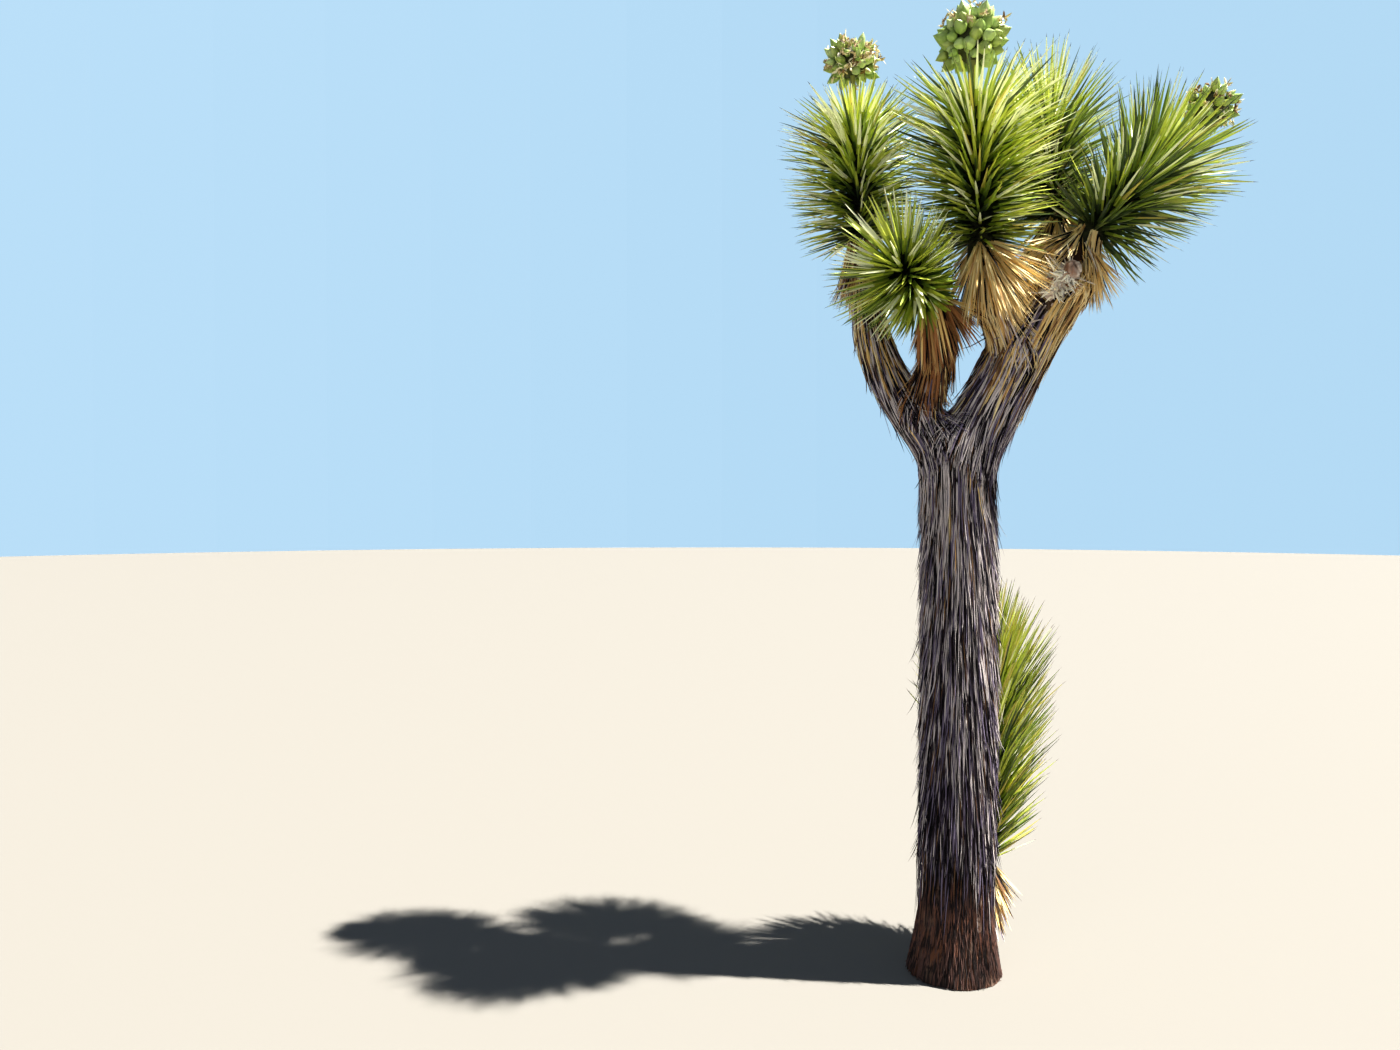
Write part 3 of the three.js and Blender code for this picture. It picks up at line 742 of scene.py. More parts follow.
flake_materials = [
    # The white flakes are partly bleached bark and partly painted sunlight.
    leaf_material("flake_white_and_sunlit", (255, 253, 240), 0.9, 0.75),
    leaf_material("flake_grey", (210, 202, 192), 0.95, 0.75),
    leaf_material("flake_brown", (150, 112, 88), 0.95, 0.75),
]

# Shares of the green tints from a head's oldest leaves to its youngest: in one full of contrast, with more
# pale leaves (partly painted glints) towards the top and more deep ones (partly painted shade) low down, and
# in a gold one, a cool one and a young one, to each of which heads lean as far as their numbers say.
DARK_SHARES = [
    [0, 0.12, 0.1, 0.14, 0.28, 0.32, 0.04],
    [0.5, 0.32, 0.2, 0.17, 0.15, 0.14, 0.02],
    [1, 0.46, 0.26, 0.14, 0.06, 0.06, 0.02],
]
OTHER_SHARES = {
    "gold": [
        [0, 0.14, 0.22, 0.27, 0.2, 0.11, 0.06],
        [0.5, 0.29, 0.33, 0.2, 0.08, 0.06, 0.04],
        [1, 0.34, 0.4, 0.16, 0.04, 0.03, 0.03],
    ],
    "cool": [
        [0, 0.02, 0.06, 0.2, 0.34, 0.36, 0.02],
        [0.5, 0.08, 0.16, 0.34, 0.24, 0.16, 0.02],
        [1, 0.16, 0.3, 0.36, 0.12, 0.06, 0],
    ],
    "young": [
        [0, 0.03, 0.2, 0.14, 0.32, 0.16, 0.15],
        [0.5, 0.05, 0.36, 0.14, 0.18, 0.07, 0.2],
        [1, 0.06, 0.46, 0.12, 0.12, 0.04, 0.2],
    ],
}


def green_shares(numbers):
    """Shares of the green tints in a head, as far from the first table as its numbers say."""
    name = next(name for name in OTHER_SHARES if name in numbers)
    return mix(np.array(DARK_SHARES), np.array(OTHER_SHARES[name]), numbers[name])


# Bark.

# Ridges, fibres and flecks: the share of each in the bark's height, how much shorter its cells are
# than a ridge's, and how many columns wide. The cracks, given in the same way, cut into them where a
# noise of their own is near zero.
BARK_LAYERS = [(0.45, 1, 10), (0.35, 3, 4), (0.2, 12, 3)]
CRACKS = (0.7, 2, 9)
CRACK_WIDTH = 0.13
RIDGE_LENGTH = 0.12

# The relief at the bark's mean height, and how much relief a height of one adds.
RELIEF_MEAN = 0.62
RELIEF_RANGE = 0.4

# Columns of the bark's grid, and how far its heights reach, on the trunk, on limbs and on the stub.
TRUNK_GRID = (280, 0.007)
LIMB_GRID = (72, 0.005)
STUB_GRID = (60, 0.007)
STUB_RINGS = 60


def bark_tube(limb, rows, columns, reach, seed, sunk=0.0):
    """A limb's bark as a grid that follows it, and its relief in shares from 0 to 1."""
    random = np.random.default_rng(seed)
    middle, along, radius = limb.at(rows)
    cells = max(int(limb.length / RIDGE_LENGTH), 2)
    height = sum(
        share * wrapped_noise(random, rows, columns, cells * finer, columns // wide)
        for share, finer, wide in BARK_LAYERS
    )
    depth, finer, wide = CRACKS
    cracks = wrapped_noise(random, rows, columns, cells * finer, columns // wide)
    height = height - depth * np.exp(-((cracks / CRACK_WIDTH) ** 2))
    size = (radius - sunk)[:, None] + height * reach
    vertices = middle[:, None] + around(along[:, None], circle(columns)) * size[..., None]
    vertices[..., 2] = np.maximum(vertices[..., 2], 0)
    return vertices, np.clip(RELIEF_MEAN + RELIEF_RANGE * height, 0, 1).ravel()


def add_grid(pile, vertices, look=0):
    """Faces over a grid of rings, with both ends closed."""
    rings, columns = vertices.shape[:2]
    side = np.arange(columns)
    turned = (side + 1) % columns
    starts = (np.arange(rings - 1) * columns)[:, None]
    corners = [starts + side, starts + turned, starts + columns + turned, starts + columns + side]
    quads = np.stack(corners, axis=-1).reshape(-1, 4)
    last = side + (rings - 1) * columns
    pile.add(vertices.reshape(-1, 3), (quads, look), (side[::-1][None], look), (last[None], look))


def rows_above_ground(limb, spacing, fine_until=0.0, fine=0.0):
    """Shares of a limb's length from the ground up, so far apart, and finely up to some length."""
    first = np.interp(0.0, limb.points[:, 2], np.linspace(0, 1, len(limb.points)))
    near = []
    if fine:
        split = fine_until / limb.length
        near = np.arange(first, split, fine / limb.length)
        first = split
    count = max(int((1 - first) * limb.length / spacing), 4)
    return np.r_[near, np.linspace(first, 1, count)]


def make_bark():
    """Bark in place of the trunk and the limbs, sunk where the thatch covers it."""
    trunk = limbs["trunk"]
    rows = rows_above_ground(trunk, spacing=0.02, fine_until=0.5, fine=0.0045)
    heights = trunk.at(rows)[0][:, 2]
    sunk = np.interp(heights, [FRINGE_HEIGHT, FRINGE_HEIGHT + FRINGE_BLEND], [0, THATCH_DEPTH])
    vertices, relief = bark_tube(trunk, rows, *TRUNK_GRID, seed=3, sunk=sunk)
    pile = Pile()
    add_grid(pile, vertices)
    bark = bark_material("trunk_bark", (17, 11, 12), (58, 43, 38), (110, 87, 74), (104, 67, 46))
    make_piece("bark_trunk", pile, [bark], ["trunk"], smooth=True, relief=relief)

    pile = Pile()
    reliefs = []
    covered = [name for name in LIMBS if name != "dead_stub"]
    for seed, name in enumerate(covered, start=5):
        rows = rows_above_ground(limbs[name], spacing=0.01)
        vertices, relief = bark_tube(limbs[name], rows, *LIMB_GRID, seed, sunk=THATCH_DEPTH * 0.9)
        add_grid(pile, vertices)
        reliefs.append(relief)
    bark = bark_material("bough_bark", (20, 16, 14), (56, 44, 35), (97, 78, 61), (86, 60, 41))
    make_piece("bark_boughs", pile, [bark], covered, smooth=True, relief=np.concatenate(reliefs))


# Thatch.


def trunk_share(height):
    """The share of the trunk's length at a height."""
    return (height + FOOT_DEPTH) / (FORK_HEIGHT + FOOT_DEPTH)


def limb_feet(limb, shares, turns, sunk):
    """Places near a limb's surface, with the direction up the limb and the direction out of it."""
    middle, along, radius = limb.at(shares)
    radial = around(along, turns)
    return middle + radial * (radius - sunk)[:, None], along, radial


def strayed(random, along, radial, lean, wander):
    """Directions back down a limb that lean out of it a little and stray aside."""
    aside = np.cross(along, radial)
    return unit(-along + radial * lean + aside * random.normal(0, wander, len(along))[:, None])


def add_thatch(
    pile, limb, span, count, lengths, widths, ages, rise, wander, fall, seed, kind="flat", hug=0.8, plumb=0
):
    """Dead leaves that point back down a limb and lie over each other, in the leaves' own spiral.

    `rise` is how far their points stand off on average, `wander` is how far they stray aside,
    `fall` is how fast they turn downwards and `hug` how closely they follow the wood. Below the share
    `plumb` of the limb's length they turn from the limb's own direction to the plumb line. None hangs
    far past the limb's foot. `kind` is flat, fringe or tiers, or names a table of tints.
    """
    limb = limbs[limb]
    random = np.random.default_rng(seed)
    shares = mix(*span, (np.arange(count) + random.random(count)) / count)
    turns = np.arange(count) * GOLDEN_ANGLE + spread(random, count, THATCH_TURN)
    length = random.uniform(*lengths, count)
    risen = random.exponential(rise, count)
    if kind == "tiers":
        shares, tuft = into_tiers(limb, shares, turns, length, random)
        risen = risen + TIP_RISE + tuft - np.mean(THATCH_LAYER)
    feet, along, radial = limb_feet(limb, shares, turns, THATCH_DEPTH)
    heading = strayed(random, along, radial, THATCH_LEAN, wander)
    if plumb:
        heading = unit(mix(-UP, heading, np.clip(shares / plumb, 0, 1)[:, None] ** PLUMB_POWER))
    length = np.minimum(length, shares * limb.length + THATCH_OVERHANG)
    lift = random.uniform(*(FRINGE_LAYER if kind == "fringe" else THATCH_LAYER), count)
    risen = np.where(random.random(count) < STRAY_SHARE, risen + random.uniform(0, STRAY_RISE, count), risen)
    paths = draped_paths(STRAND, feet, heading, length, lift, risen, fall, hug)
    above = rolled(random, off_wood(paths), paths, THATCH_ROLL)
    width = random.uniform(*widths, count)
    looks = deal(random, np.interp(shares, span, ages), SHARES_BY_KIND.get(kind, DEAD_SHARES))
    kept = off_stub(paths) | (limb is limbs["dead_stub"])
    depth = width * STRAND_DEPTH
    add_blades(pile, STRAND, paths[kept], above[kept], width[kept], depth[kept], looks[kept])


def into_tiers(limb, shares, turns, length, random):
    """Shares moved so that the leaves' tips end in tiers, and how far each one's tuft stands out."""
    tips = shares * limb.length - FOOT_DEPTH - length
    tier = np.clip(np.round((tips - LOWEST_TIER - TIER_LIP) / TIER_HEIGHT), 0, TIER_COUNT - 1)
    tuft = np.cos(TUFTS * turns) * np.where(tier % 2, 1, -1) * TUFT
    drop = tuft + random.normal(0, TIER_SPREAD, len(shares))
    moved = LOWEST_TIER + TIER_LIP + tier * TIER_HEIGHT - drop + length
    return np.clip((moved + FOOT_DEPTH) / limb.length, 0, 1), tuft


def off_stub(paths, bare=0.25, room=0.006):
    """Whether paths keep off the dead stub's bare end."""
    stub = limbs["dead_stub"]
    first = round(len(stub.points) * bare)
    end = Limb(stub.points[first:], stub.radii[first:])
    return (end.distance(paths.reshape(-1, 3)).reshape(paths.shape[:2]) > room).all(axis=1)


# Where the tiers of the trunk's thatch start, as a share of its length.
THATCH_FOOT = trunk_share(FRINGE_HEIGHT + 0.07)

# The thatch by piece, in coats: the limb, the stretch of it in shares of its length, how many dead
# leaves, how long and how wide they are, their age at both ends of the stretch, how far they stand off
# and stray, and how they fall. Some coats have their own kind, or hug the wood or hang plumb otherwise.
THATCH = {
    "thatch_trunk_lower": [
        dict(limb="trunk", kind="fringe", span=(0.24, 0.34), count=330, lengths=(0.14, 0.3),
             widths=(0.003, 0.0055), ages=(0.95, 0.85), rise=0.003, wander=0.05, fall=0.06, hug=0.6),
        dict(limb="trunk", kind="tiers", span=(THATCH_FOOT, 0.6), count=4600, lengths=(0.12, 0.27),
             widths=(0.003, 0.0058), ages=(1, 0.84), rise=0.0025, wander=0.04, fall=0.06),
    ],
    "thatch_trunk_upper": [
        dict(limb="trunk", kind="tiers", span=(0.56, 1), count=4600, lengths=(0.12, 0.27),
             widths=(0.003, 0.0062), ages=(0.84, 0.68), rise=0.0025, wander=0.045, fall=0.06),
        dict(limb="trunk", span=(0.965, 1), count=420, lengths=(0.06, 0.16), widths=(0.003, 0.0062),
             ages=(0.75, 0.68), rise=0.003, wander=0.05, fall=0.06),
    ],
    "thatch_boughs": [
        dict(limb="bough_right", span=(0, 0.62), count=2500, lengths=(0.12, 0.25), widths=(0.003, 0.0065),
             ages=(0.82, 0.6), rise=0.002, wander=0.03, fall=0.08, plumb=0.4),
        dict(limb="bough_right", span=(0.4, 1), count=1500, lengths=(0.14, 0.28), widths=(0.004, 0.011),
             ages=(0.62, 0.15), rise=0.003, wander=0.05, fall=0.03, hug=0.7),
        dict(limb="bough_left", span=(0, 0.75), count=1300, lengths=(0.12, 0.24), widths=(0.003, 0.007),
             ages=(0.84, 0.55), rise=0.002, wander=0.04, fall=0.08, plumb=0.4),
        dict(limb="bough_left", span=(0.5, 1), count=460, lengths=(0.1, 0.2), widths=(0.004, 0.009),
             ages=(0.5, 0.3), rise=0.004, wander=0.1, fall=0.05, hug=0.5),
        dict(limb="stem_right", span=(0.1, 1), count=420, lengths=(0.1, 0.22), widths=(0.004, 0.012),
             ages=(0.15, 0), rise=0.003, wander=0.06, fall=0.03, hug=0.6),
        dict(limb="stem_centre", span=(0.1, 1), count=700, lengths=(0.1, 0.2), widths=(0.003, 0.007),
             ages=(0.5, 0.1), rise=0.003, wander=0.06, fall=0.1, plumb=0.8),
        dict(limb="stem_back", span=(0.05, 1), count=700, lengths=(0.12, 0.24), widths=(0.004, 0.009),
             ages=(0.4, 0.15), rise=0.004, wander=0.1, fall=0.1, hug=0.6),
        dict(limb="stem_front", span=(0, 0.75), count=600, lengths=(0.12, 0.24), widths=(0.004, 0.008),
             ages=(0.92, 0.7), rise=0.002, wander=0.05, fall=0.1),
        dict(limb="stem_front", kind="beard", span=(0.55, 0.95), count=600, lengths=(0.15, 0.28),
             widths=(0.0035, 0.0075), ages=(0.9, 0.1), rise=0.012, wander=0.06, fall=0.25, hug=0.3),
    ],
}


def make_thatch():
    seed = 70
    for name, coats in THATCH.items():
        pile = Pile()
        for coat in coats:
            seed += 1
            add_thatch(pile, seed=seed, **coat)
        make_piece(name, pile, dead_materials)


# Fibres on the bare foot of the trunk start this deep in it, between two heights.
FIBRE_COUNT = 2200
FIBRE_SUNK = 0.004
FIBRE_HEIGHTS = (0.05, FRINGE_HEIGHT + 0.06)
FIBRE_LENGTHS = (0.04, 0.11)
FIBRE_WIDTHS = (0.0025, 0.005)
FIBRE_DEPTH = 0.5


def make_foot_fibres():
    """Short fibres of old bark on the bare foot of the trunk."""
    random = np.random.default_rng(91)
    count = FIBRE_COUNT
    heights = random.uniform(*FIBRE_HEIGHTS, count)
    turns = random.uniform(0, 2 * np.pi, count)
    feet, along, radial = limb_feet(limbs["trunk"], trunk_share(heights), turns, FIBRE_SUNK)
    heading = strayed(random, along, radial, lean=0.02, wander=0.1)
    length = random.uniform(*FIBRE_LENGTHS, count)
    rise = random.exponential(0.0012, count)
    paths = draped_paths(STRAND, feet, heading, length, lift=0, rise=rise, fall=0, hug=0.8)
    tints = [
        leaf_material("fibre_dark", (37, 27, 26), 0.95, 0.8),
        leaf_material("fibre_brown", (95, 69, 62), 0.95, 0.8),
        leaf_material("fibre_rust", (128, 87, 69), 0.95, 0.8),
    ]
    rusty = np.interp(heights, [0.1, 0.2, 0.3], [0.02, 0.22, 0.3])
    looks = np.where(random.random(count) < rusty, 2, random.integers(0, 2, count))
    width = random.uniform(*FIBRE_WIDTHS, count)
    pile = Pile()
    add_blades(pile, STRAND, paths, off_wood(paths), width, width * FIBRE_DEPTH, looks)
    make_piece("foot_fibres", pile, tints)


# Heads.


class Head:
    """A head's axis, which goes on from its limb's neck, and its numbers."""

    def __init__(self, name, numbers):
        limb = limbs[numbers["limb"]]
        self.name = name
        self.numbers = numbers
        self.neck = limb.points[-1]
        self.along = limb.heading
        self.collar = numbers["collar"]
        self.top = self.collar + numbers["core"]
        self.leaf_length = numbers["leaf"] * LEAF_LENGTH
        self.neck_radius = limb.radii[-1]
        middle = limb.at(np.linspace(0.5, 0.9, 5))[0]
        self.chain = Limb(np.vstack([middle, self.neck, self.on_axis(self.top)]), np.zeros(7))

    def on_axis(self, reach):
        return self.neck + self.along * np.asarray(reach)[..., None]

    def radial(self, turns):
        return around(self.along, turns)

    def leaning(self, radial, lean):
        """Directions out of the axis that lean from it by so many degrees."""
        lean = np.radians(lean)
        return radial * np.sin(lean)[:, None] + self.along * np.cos(lean)[:, None]

    def cluster(self, room=0.0):
        """The middle of the head's cluster of fruit, and its half width and half height."""
        fruit = self.numbers["fruit"]
        middle = self.on_axis(self.top + fruit["stalk"] + fruit["half_height"])
        reach = FRUIT_REACH * fruit["size"] + room
        return middle, fruit["radius"] * FRUIT_FOOT + reach, fruit["half_height"] * FRUIT_FOOT + reach


heads = {name: Head(name, numbers) for name, numbers in HEADS.items()}


def in_own_space(head, points, slack=0.02):
    """Whether points lie nearer to the head's own axis than to any other's."""
    own = head.chain.distance(points)
    others = [other.chain.distance(points) for other in heads.values() if other is not head]
    return np.min(others, axis=0) > own - slack


def off_fruit(head, points):
    """Whether points keep off the cluster of fruit that the head bears, if any."""
    if "fruit" not in head.numbers:
        return np.full(len(points), True)
    middle, wide, tall = head.cluster(CLUSTER_ROOM)
    offset = points - middle
    along = offset @ head.along
    across = np.linalg.norm(offset - along[:, None] * head.along, axis=1)
    return (along / tall) ** 2 + (across / wide) ** 2 > 1


def fitted_lengths(head, feet, directions, lengths):
    """Lengths cut down in steps until each leaf keeps to its own space and off the wood, or zero."""
    fitted = np.zeros(len(lengths))
    for share in np.arange(1, LEAST_LEAF, -LEAF_STEP):
        tips = feet + directions * (lengths * share)[:, None]
        halfway = feet + directions * (lengths * share * HALFWAY)[:, None]
        free = (wood_distance(tips) > TIP_ROOM) & (wood_distance(halfway) > HALFWAY_ROOM)
        free = free & off_fruit(head, tips) & off_fruit(head, halfway)
        fits = in_own_space(head, tips) & free & (tips[:, 2] > LOWEST_TIP) & (fitted == 0)
        fitted[fits] = lengths[fits] * share
    return fitted


def varied(head, directions, lengths, random):
    """Lengths that vary, and are shorter for leaves that point into the crown."""
    crowded = 1 - head.numbers.get("crowding", 0) * np.maximum(directions[:, 0], 0)
    return lengths * (crowded + spread(random, len(lengths), LENGTH_SPREAD))


def spiral(head, reach, count, random):
    """The golden spiral up a stretch of the axis: shares of the stretch, feet on it, directions out."""
    shares = (np.arange(count) + 0.5) / count
    radial = head.radial(np.arange(count) * GOLDEN_ANGLE + spread(random, count, TURN_SPREAD))
    return shares, head.on_axis(mix(*reach, shares)), radial


def make_head(head):
    """Green leaves round the head's axis, each with a brown spine, and with a foot and an inner stretch
    darkened as painted shade.
    """
    numbers = head.numbers
    random = np.random.default_rng(numbers["seed"])
    count = round(numbers["greens"] * GREEN_FACTOR * numbers.get("crowd", 1))
    shares, middle, radial = spiral(head, (head.collar + FIRST_LEAF, head.top - LAST_LEAF), count, random)
    lean = value_at(numbers.get("lean", OPEN_LEAN), shares) + spread(random, count, LEAN_SPREAD)
    directions = head.leaning(radial, lean)
    girth = value_at(CORE_PROFILE, shares) * numbers["girth"] * CORE_RADIUS
    feet = middle + radial * (girth * GREEN_FOOT)[:, None]
    lengths = value_at(numbers.get("lengths", OPEN_LENGTH), shares) * head.leaf_length
    lengths = fitted_lengths(head, feet, directions, varied(head, directions, lengths, random))
    bends = UP * random.normal(*GREEN_RISE, count)[:, None]
    bends = bends + head.along * random.normal(*GREEN_BEND, count)[:, None]
    widths = GREEN_WIDTH * random.uniform(*GREEN_WIDTHS, count)
    looks = deal(random, shares, green_shares(numbers))
    kept = lengths > 0
    looks = looks[kept]
    paths = grown_paths(GREEN_LEAF, feet[kept], directions[kept], lengths[kept], bends[kept])
    above = rolled(random, (head.along - radial[kept] * FACE_TILT)[:, None], paths, GREEN_ROLL)
    pile = Pile()
    foot, spine, shaft = np.arange(3) + len(green_materials)
    # The feet and the inner stretches take darker tints as painted shade.
    others = [(0, foot), (1, SHADED[looks]), (-1, spine)]
    depths = np.full(len(looks), GREEN_DEPTH)
    add_blades(pile, GREEN_LEAF, paths, above, widths[kept], depths, looks, others)
    add_shaft(pile, head, shaft)
    materials = [*green_materials, leaf_foot_painted_shade, leaf_spine, leaf_shaft_painted_shade]
    make_piece(f"leaves_{head.name}", pile, materials, [f"head_{head.name}"])


def add_tube(pile, head, middle, radius, sides, look):
    """A closed tube round points of the head's axis, with a radius at each."""
    add_grid(pile, middle[:, None] + head.radial(circle(sides)) * radius[..., None], look)


# The stem inside a head: its grid, its roughness, and the cells of the noise for that each way.
SHAFT_RINGS = 40
SHAFT_SIDES = 16
SHAFT_ROUGHNESS = 0.06
SHAFT_CELLS = (30, 8)


def add_shaft(pile, head, look):
    """The stem that the leaves clasp, from the neck to the head's tip, in a near-black tint that is painted
    shade.
    """
    reach = np.linspace(0, head.top, SHAFT_RINGS)
    narrow = head.numbers["girth"] * CORE_RADIUS * GREEN_FOOT
    profile = [[0, head.neck_radius * 0.92], [head.collar, narrow * 1.25], [head.top * 0.9, narrow * 0.9]]
    radius = value_at([*profile, [head.top, narrow * 0.3]], reach)
    random = np.random.default_rng(head.numbers["seed"] + 1)
    noise = wrapped_noise(random, reach / head.top, SHAFT_SIDES, *SHAFT_CELLS)
    radius = radius[:, None] * (1 + SHAFT_ROUGHNESS * noise)
    add_tube(pile, head, head.on_axis(reach), radius, SHAFT_SIDES, look)


def make_skirt(head):
    """Dead leaves that hang back round the neck, over the wood."""
    numbers = head.numbers
    random = np.random.default_rng(numbers["seed"] * 7)
    count = round(numbers["deads"] * DEAD_FACTOR)
    reach = (head.collar * SKIRT_FROM, head.collar * SKIRT_TO + FIRST_LEAF)
    shares, middle, radial = spiral(head, reach, count, random)
    lean = value_at(numbers.get("dead_lean", DEAD_LEAN), shares) + spread(random, count, 2 * LEAN_SPREAD)
    directions = unit(head.leaning(radial, lean) - numbers["sag"] * UP)
    feet = middle + radial * (head.neck_radius * SKIRT_SUNK)
    lengths = head.leaf_length * numbers["dead_length"] * (1 - DEAD_GROWTH * (1 - shares))
    lengths = varied(head, directions, lengths, random)
    fall = random.uniform(0.0, 0.02 + 0.02 * numbers["sag"], count)
    paths = draped_paths(
        DEAD_LEAF, feet, directions, lengths, SKIRT_LIFT, rise=0, fall=fall, lowest=LOWEST_SKIRT
    )
    kept = in_own_space(head, paths[:, -1], SKIRT_SLACK) & off_stub(paths)
    above = rolled(random, (head.along - radial * FACE_TILT)[:, None], paths, SKIRT_ROLL)
    widths = DEAD_WIDTH * random.uniform(*DEAD_WIDTHS, count)
    depths = widths * DEAD_DEPTH
    ages = (1 - numbers["straw"]) * 0.6 * (1.2 - shares)
    looks = deal(random, ages, SHARES_BY_KIND.get(numbers.get("kind"), DEAD_SHARES))
    pile = Pile()
    add_blades(pile, DEAD_LEAF, paths[kept], above[kept], widths[kept], depths[kept], looks[kept])
    make_piece(f"dead_leaves_{head.name}", pile, dead_materials, [f"skirt_{head.name}"])


# Fruit.

FRUIT_OUTLINE = [
    [0, 0.2], [0.07, 0.6], [0.22, 0.92], [0.4, 1], [0.58, 0.88], [0.74, 0.6], [0.86, 0.32],
    [0.95, 0.12], [1, 0.03],
]
FRUIT_SIDES = 12

# Fruits sit between two levels of the cluster, from -1 to 1, and vary in turn, size and depth. They
# point upwards by the rise, and wander from that.
FRUIT_LEVELS = (-0.9, 0.97)
FRUIT_TURN = 0.5
FRUIT_SIZES = (0.7, 1.08)
FRUIT_RISE = 0.25
FRUIT_WANDER = 0.12
FRUIT_DEPTHS = (0.72, 1.02)

# The stems of single fruits, and the stalk and the core of a cluster.
STEM_WIDTH = 0.007
STEM_OVERLAP = 0.006
STALK_SIDES = 12
STALK_RINGS = 24
CORE_SIDES = 16
CORE_RINGS = 14

# The husks of spent flowers: where in the cluster their bunches sit, and their petals.
HUSK_LEVELS = (-0.7, 0.95)
HUSK_DEPTHS = (0.5, 0.86)
HUSK_SHARES = [[0, 0.4, 0.4, 0.2]]
PETALS = 6
PETAL_LENGTHS = (0.016, 0.03)
PETAL_WIDTHS = (0.006, 0.01)
PETAL_CURL = 2.2

# The places of two materials in the list below.
FRUIT_STALK = 4
FRUIT_CORE = 5
fruit_materials = [
    mottled_material("fruit_pale", (164, 186, 118), (190, 206, 144)),
    mottled_material("fruit_green", (134, 160, 84), (158, 180, 104)),
    mottled_material("fruit_gold", (145, 162, 87), (167, 180, 108)),
    leaf_material("fruit_beak", (104, 104, 58), 0.6, 0.5),
    leaf_material("fruit_stalk", (140, 140, 84), 0.7, 0.6),
    leaf_material("fruit_core", (58, 62, 34), 0.8, 0.7),
]
husk_materials = [
    leaf_material("husk_cream", (244, 234, 206), 0.85, 0.7),
    leaf_material("husk_beige", (199, 180, 141), 0.85, 0.7),
    leaf_material("husk_brown", (134, 104, 72), 0.9, 0.75),
]


def add_fruit(pile, feet, directions, lengths, widths, random):
    """Capsules with three blunt ridges and a beak."""
    places, sizes = np.array(FRUIT_OUTLINE).T
    angle = circle(FRUIT_SIDES)
    ridged = 1 + 0.05 * np.cos(3 * angle) + 0.025 * np.cos(6 * angle)
    ring = around(directions[:, None], random.uniform(0, 2 * np.pi, len(feet))[:, None] + angle)
    radius = (widths / 2)[:, None, None] * sizes[:, None] * ridged
    middle = feet[:, None] + directions[:, None] * (lengths[:, None] * places)[..., None]
    vertices = middle[:, :, None] + ring[:, None] * radius[..., None]
    for grid, look in zip(vertices, random.integers(0, 3, len(feet))):
        add_grid(pile, grid, look)


def make_fruit(head):
    """A cluster of fruit in a spiral over an egg-shaped shell, each on a stem from its middle."""
    numbers = head.numbers["fruit"]
    random = np.random.default_rng(head.numbers["seed"] * 13)
    middle, wide, tall = head.cluster()
    length, width, count = numbers["length"], numbers["width"], numbers["count"]
    level = mix(*FRUIT_LEVELS, (np.arange(count) + 0.5) / count)
    radial = head.radial(np.arange(count) * GOLDEN_ANGLE + spread(random, count, FRUIT_TURN))
    flat = np.sqrt(1 - level**2)[:, None]
    upward = head.along * (level + FRUIT_RISE)[:, None]
    directions = unit(radial * flat + upward + random.normal(0, FRUIT_WANDER, (count, 3)))
    sizes = random.uniform(*FRUIT_SIZES, count)
    lengths = length * sizes
    shell = radial * flat * (wide - length) + head.along * (level * (tall - length))[:, None]
    feet = middle + shell * random.uniform(*FRUIT_DEPTHS, count)[:, None]
    pile = Pile()
    add_fruit(pile, feet, directions, lengths, width * sizes, random)
    stalk_feet = middle + head.along * (level * (tall - length) * 0.6)[:, None]
    toward = unit(feet - stalk_feet)
    gap = np.linalg.norm(feet - stalk_feet, axis=1) + STEM_OVERLAP
    paths = grown_paths(FRUIT_STEM, stalk_feet, toward, gap, np.zeros((count, 3)))
    above = np.cross(toward, SIDEWAYS)[:, None]
    stem = np.full(count, STEM_WIDTH)
    add_blades(pile, FRUIT_STEM, paths, above, stem, stem, np.full(count, FRUIT_STALK))
    add_stalk(pile, head, head.top + numbers["stalk"] + numbers["half_height"] + tall * 0.55)
    add_core(pile, head, middle, wide - length, tall - length)
    replaced = [f"fruit_{head.name}"]
    make_piece(f"cluster_{head.name}", pile, fruit_materials, replaced, smooth=True)
    make_husks(head, middle, wide, tall, random)


def add_stalk(pile, head, end):
    reach = np.linspace(head.top - 0.02, end, STALK_RINGS)
    radius = np.linspace(STALK_RADIUS, STALK_RADIUS * 0.4, STALK_RINGS)[:, None]
    add_tube(pile, head, head.on_axis(reach), radius, STALK_SIDES, FRUIT_STALK)


def add_core(pile, head, middle, wide, tall):
    """The knot of stalks inside a cluster, which shows between its fruits, darker than the stalks as painted
    shade.
    """
    level = np.linspace(-0.96, 0.96, CORE_RINGS)
    radius = (np.sqrt(1 - level**2) * wide)[:, None]
    add_tube(pile, head, middle + head.along * (level * tall)[:, None], radius, CORE_SIDES, FRUIT_CORE)


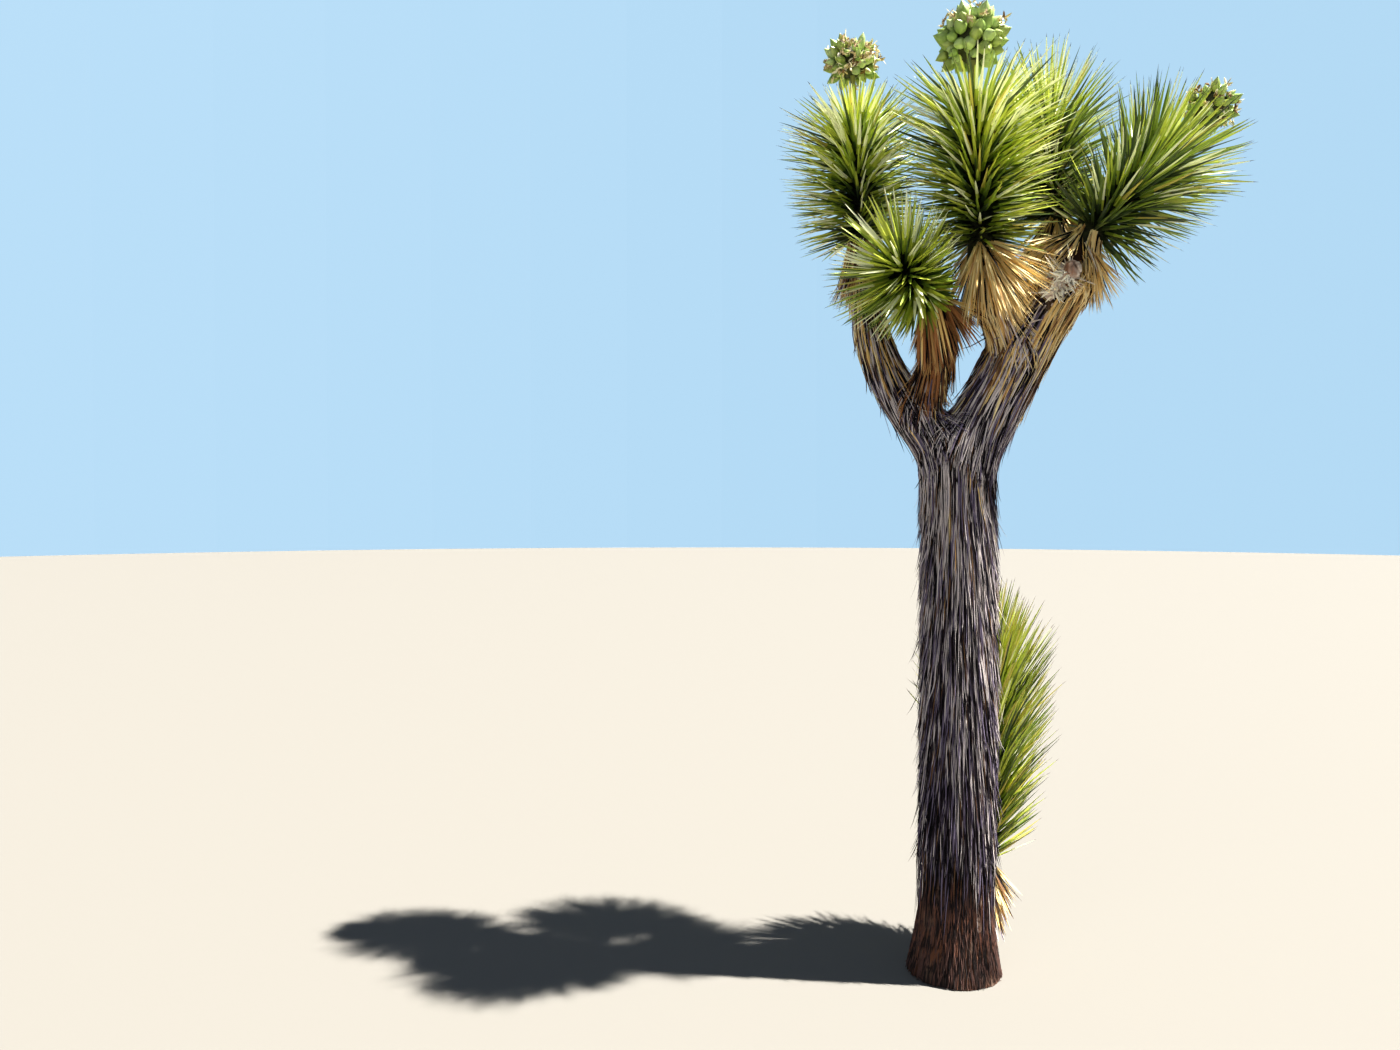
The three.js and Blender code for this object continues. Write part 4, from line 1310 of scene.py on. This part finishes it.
def make_husks(head, middle, wide, tall, random):
    """Dried petals of spent flowers, in small curled bunches among the fruit."""
    numbers = head.numbers["fruit"]
    bunches = numbers["husks"]
    lowest, highest = HUSK_LEVELS
    level = random.uniform(lowest, highest, bunches)
    if "husks_from" in numbers:
        level = random.uniform(numbers["husks_from"], highest, bunches)
    radial = head.radial(random.uniform(0, 2 * np.pi, bunches))
    flat = np.sqrt(1 - level**2)[:, None]
    shell = radial * flat * wide + head.along * (level * tall)[:, None]
    places = middle + shell * random.uniform(*HUSK_DEPTHS, bunches)[:, None]
    axis = unit(radial * flat + head.along * level[:, None] + random.normal(0, 0.3, (bunches, 3)))
    count = bunches * PETALS
    feet = np.repeat(places, PETALS, axis=0) + random.normal(0, 0.002, (count, 3))
    directions = unit(np.repeat(axis, PETALS, axis=0) + random.normal(0, 1, (count, 3)) * 0.5)
    bends = unit(random.normal(0, 1, (count, 3))) * PETAL_CURL
    paths = grown_paths(PETAL, feet, directions, random.uniform(*PETAL_LENGTHS, count), bends)
    above = unit(random.normal(0, 1, (count, 3)))[:, None]
    widths = random.uniform(*PETAL_WIDTHS, count)
    looks = deal(random, np.zeros(count), HUSK_SHARES)
    pile = Pile()
    add_blades(pile, PETAL, paths, above, widths, widths * 0.25, looks)
    make_piece(f"husks_{head.name}", pile, husk_materials)


# How much thicker the stub is than its solid along it, and the flakes of old bark on it.
STUB_SWELL = [[0, 1], [0.45, 0.9], [0.62, 0.9], [0.8, 1.35], [0.93, 1.15], [1, 0.4]]
STUB_FLAKES = dict(limb="dead_stub", kind="flakes", span=(0.1, 0.76), count=180, lengths=(0.02, 0.055),
                   widths=(0.004, 0.01), ages=(0.7, 0), rise=0.014, wander=0.9, fall=0.03, hug=0)


def make_stub():
    """A broken, weathered stub with a rough knob at its end and flakes of old bark along it."""
    limb = limbs["dead_stub"]
    rows = np.linspace(0, 1, STUB_RINGS)
    vertices, relief = bark_tube(limb, rows, *STUB_GRID, seed=47, sunk=0.008)
    middle = limb.at(rows)[0][:, None]
    vertices = middle + (vertices - middle) * value_at(STUB_SWELL, rows)[:, None, None]
    # The stub's pale tints are partly weathered wood and partly painted sunlight where the crown shades it.
    grey = bark_material("stub_wood_and_sunlight", (70, 52, 48), (176, 158, 146), (240, 230, 218), (146, 112, 96))
    pile = Pile()
    add_grid(pile, vertices)
    make_piece("stub", pile, [grey], ["dead_stub"], smooth=True, relief=relief)
    pile = Pile()
    add_thatch(pile, seed=48, **STUB_FLAKES)
    make_piece("stub_flakes", pile, flake_materials)


# Building.

make_bark()
make_thatch()
make_foot_fibres()
make_stub()
for head in heads.values():
    make_head(head)
    make_skirt(head)
    if "fruit" in head.numbers:
        make_fruit(head)


# The studio. The photograph's viewpoint is at eye height, with a wide lens and a slight tilt down.

STUDIO_SIDES = 64
FLOOR_RADIUS = 40
WALL_RADIUS = 39
WALL_FOOT = -5
WALL_TOP = 60
CAMERA_PLACE = (-0.8767, -3.61, 1.6)
CAMERA_TILT = 0.93
CAMERA_LENS = 27
CAMERA_SENSOR = 36


def studio_ring(radius, height):
    return [(radius * np.cos(turn), radius * np.sin(turn), height) for turn in circle(STUDIO_SIDES)]


def add_stage(name, points, faces, material):
    """A mesh of the studio, which is no part of the tree."""
    mesh = bpy.data.meshes.new(name)
    mesh.from_pydata(points, [], faces)
    mesh.materials.append(material)
    stage = bpy.data.objects.new(name, mesh)
    bpy.context.scene.collection.objects.link(stage)
    return stage


def make_floor():
    material, _ = new_material("floor_pale", (123, 120, 115), 0.9)
    add_stage("floor", studio_ring(FLOOR_RADIUS, 0), [tuple(range(STUDIO_SIDES))], material)


def add_sun(name, azimuth, elevation, strength, angle, tint):
    """A sun that shines from a bearing, counted from +X towards +Y, and a height, in degrees."""
    light = bpy.data.lights.new(name, "SUN")
    light.energy = strength
    light.angle = radians(angle)
    light.color = tint
    lamp = bpy.data.objects.new(name, light)
    lamp.rotation_euler = (0, radians(90 - elevation), radians(azimuth))
    bpy.context.scene.collection.objects.link(lamp)


def make_backdrop():
    """A pale wall all round, the colour of a clear sky. Only the camera sees it."""
    material, shader = new_material("backdrop_sky", BLACK, 1)
    shader.inputs["Emission Color"].default_value = linear((170, 203, 226))
    shader.inputs["Emission Strength"].default_value = 1
    points = studio_ring(WALL_RADIUS, WALL_FOOT) + studio_ring(WALL_RADIUS, WALL_TOP)
    sides = [(i, (i + 1) % STUDIO_SIDES) for i in range(STUDIO_SIDES)]
    faces = [(a, b, b + STUDIO_SIDES, a + STUDIO_SIDES) for a, b in sides]
    wall = add_stage("backdrop", points, faces, material)
    wall.visible_diffuse = False
    wall.visible_glossy = False
    wall.visible_shadow = False


def make_studio():
    make_floor()
    make_backdrop()
    add_sun("key", azimuth=-6, elevation=60, strength=13, angle=1, tint=(1, 0.97, 0.9))
    add_sun("fill", azimuth=-120, elevation=35, strength=0.4, angle=40, tint=(0.92, 0.95, 1))
    world = bpy.data.worlds.new("studio")
    world.use_nodes = True
    background = world.node_tree.nodes["Background"]
    background.inputs["Color"].default_value = (0.58, 0.76, 1, 1)
    background.inputs["Strength"].default_value = 0.2
    bpy.context.scene.world = world
    bpy.context.scene.view_settings.view_transform = "Standard"
    bpy.context.scene.view_settings.look = "Medium High Contrast"


def make_camera():
    camera = bpy.data.cameras.new("camera")
    camera.lens = CAMERA_LENS
    camera.sensor_width = CAMERA_SENSOR
    viewer = bpy.data.objects.new("camera", camera)
    viewer.location = CAMERA_PLACE
    viewer.rotation_euler = (radians(90 - CAMERA_TILT), 0, 0)
    bpy.context.scene.collection.objects.link(viewer)
    bpy.context.scene.camera = viewer


make_studio()
make_camera()
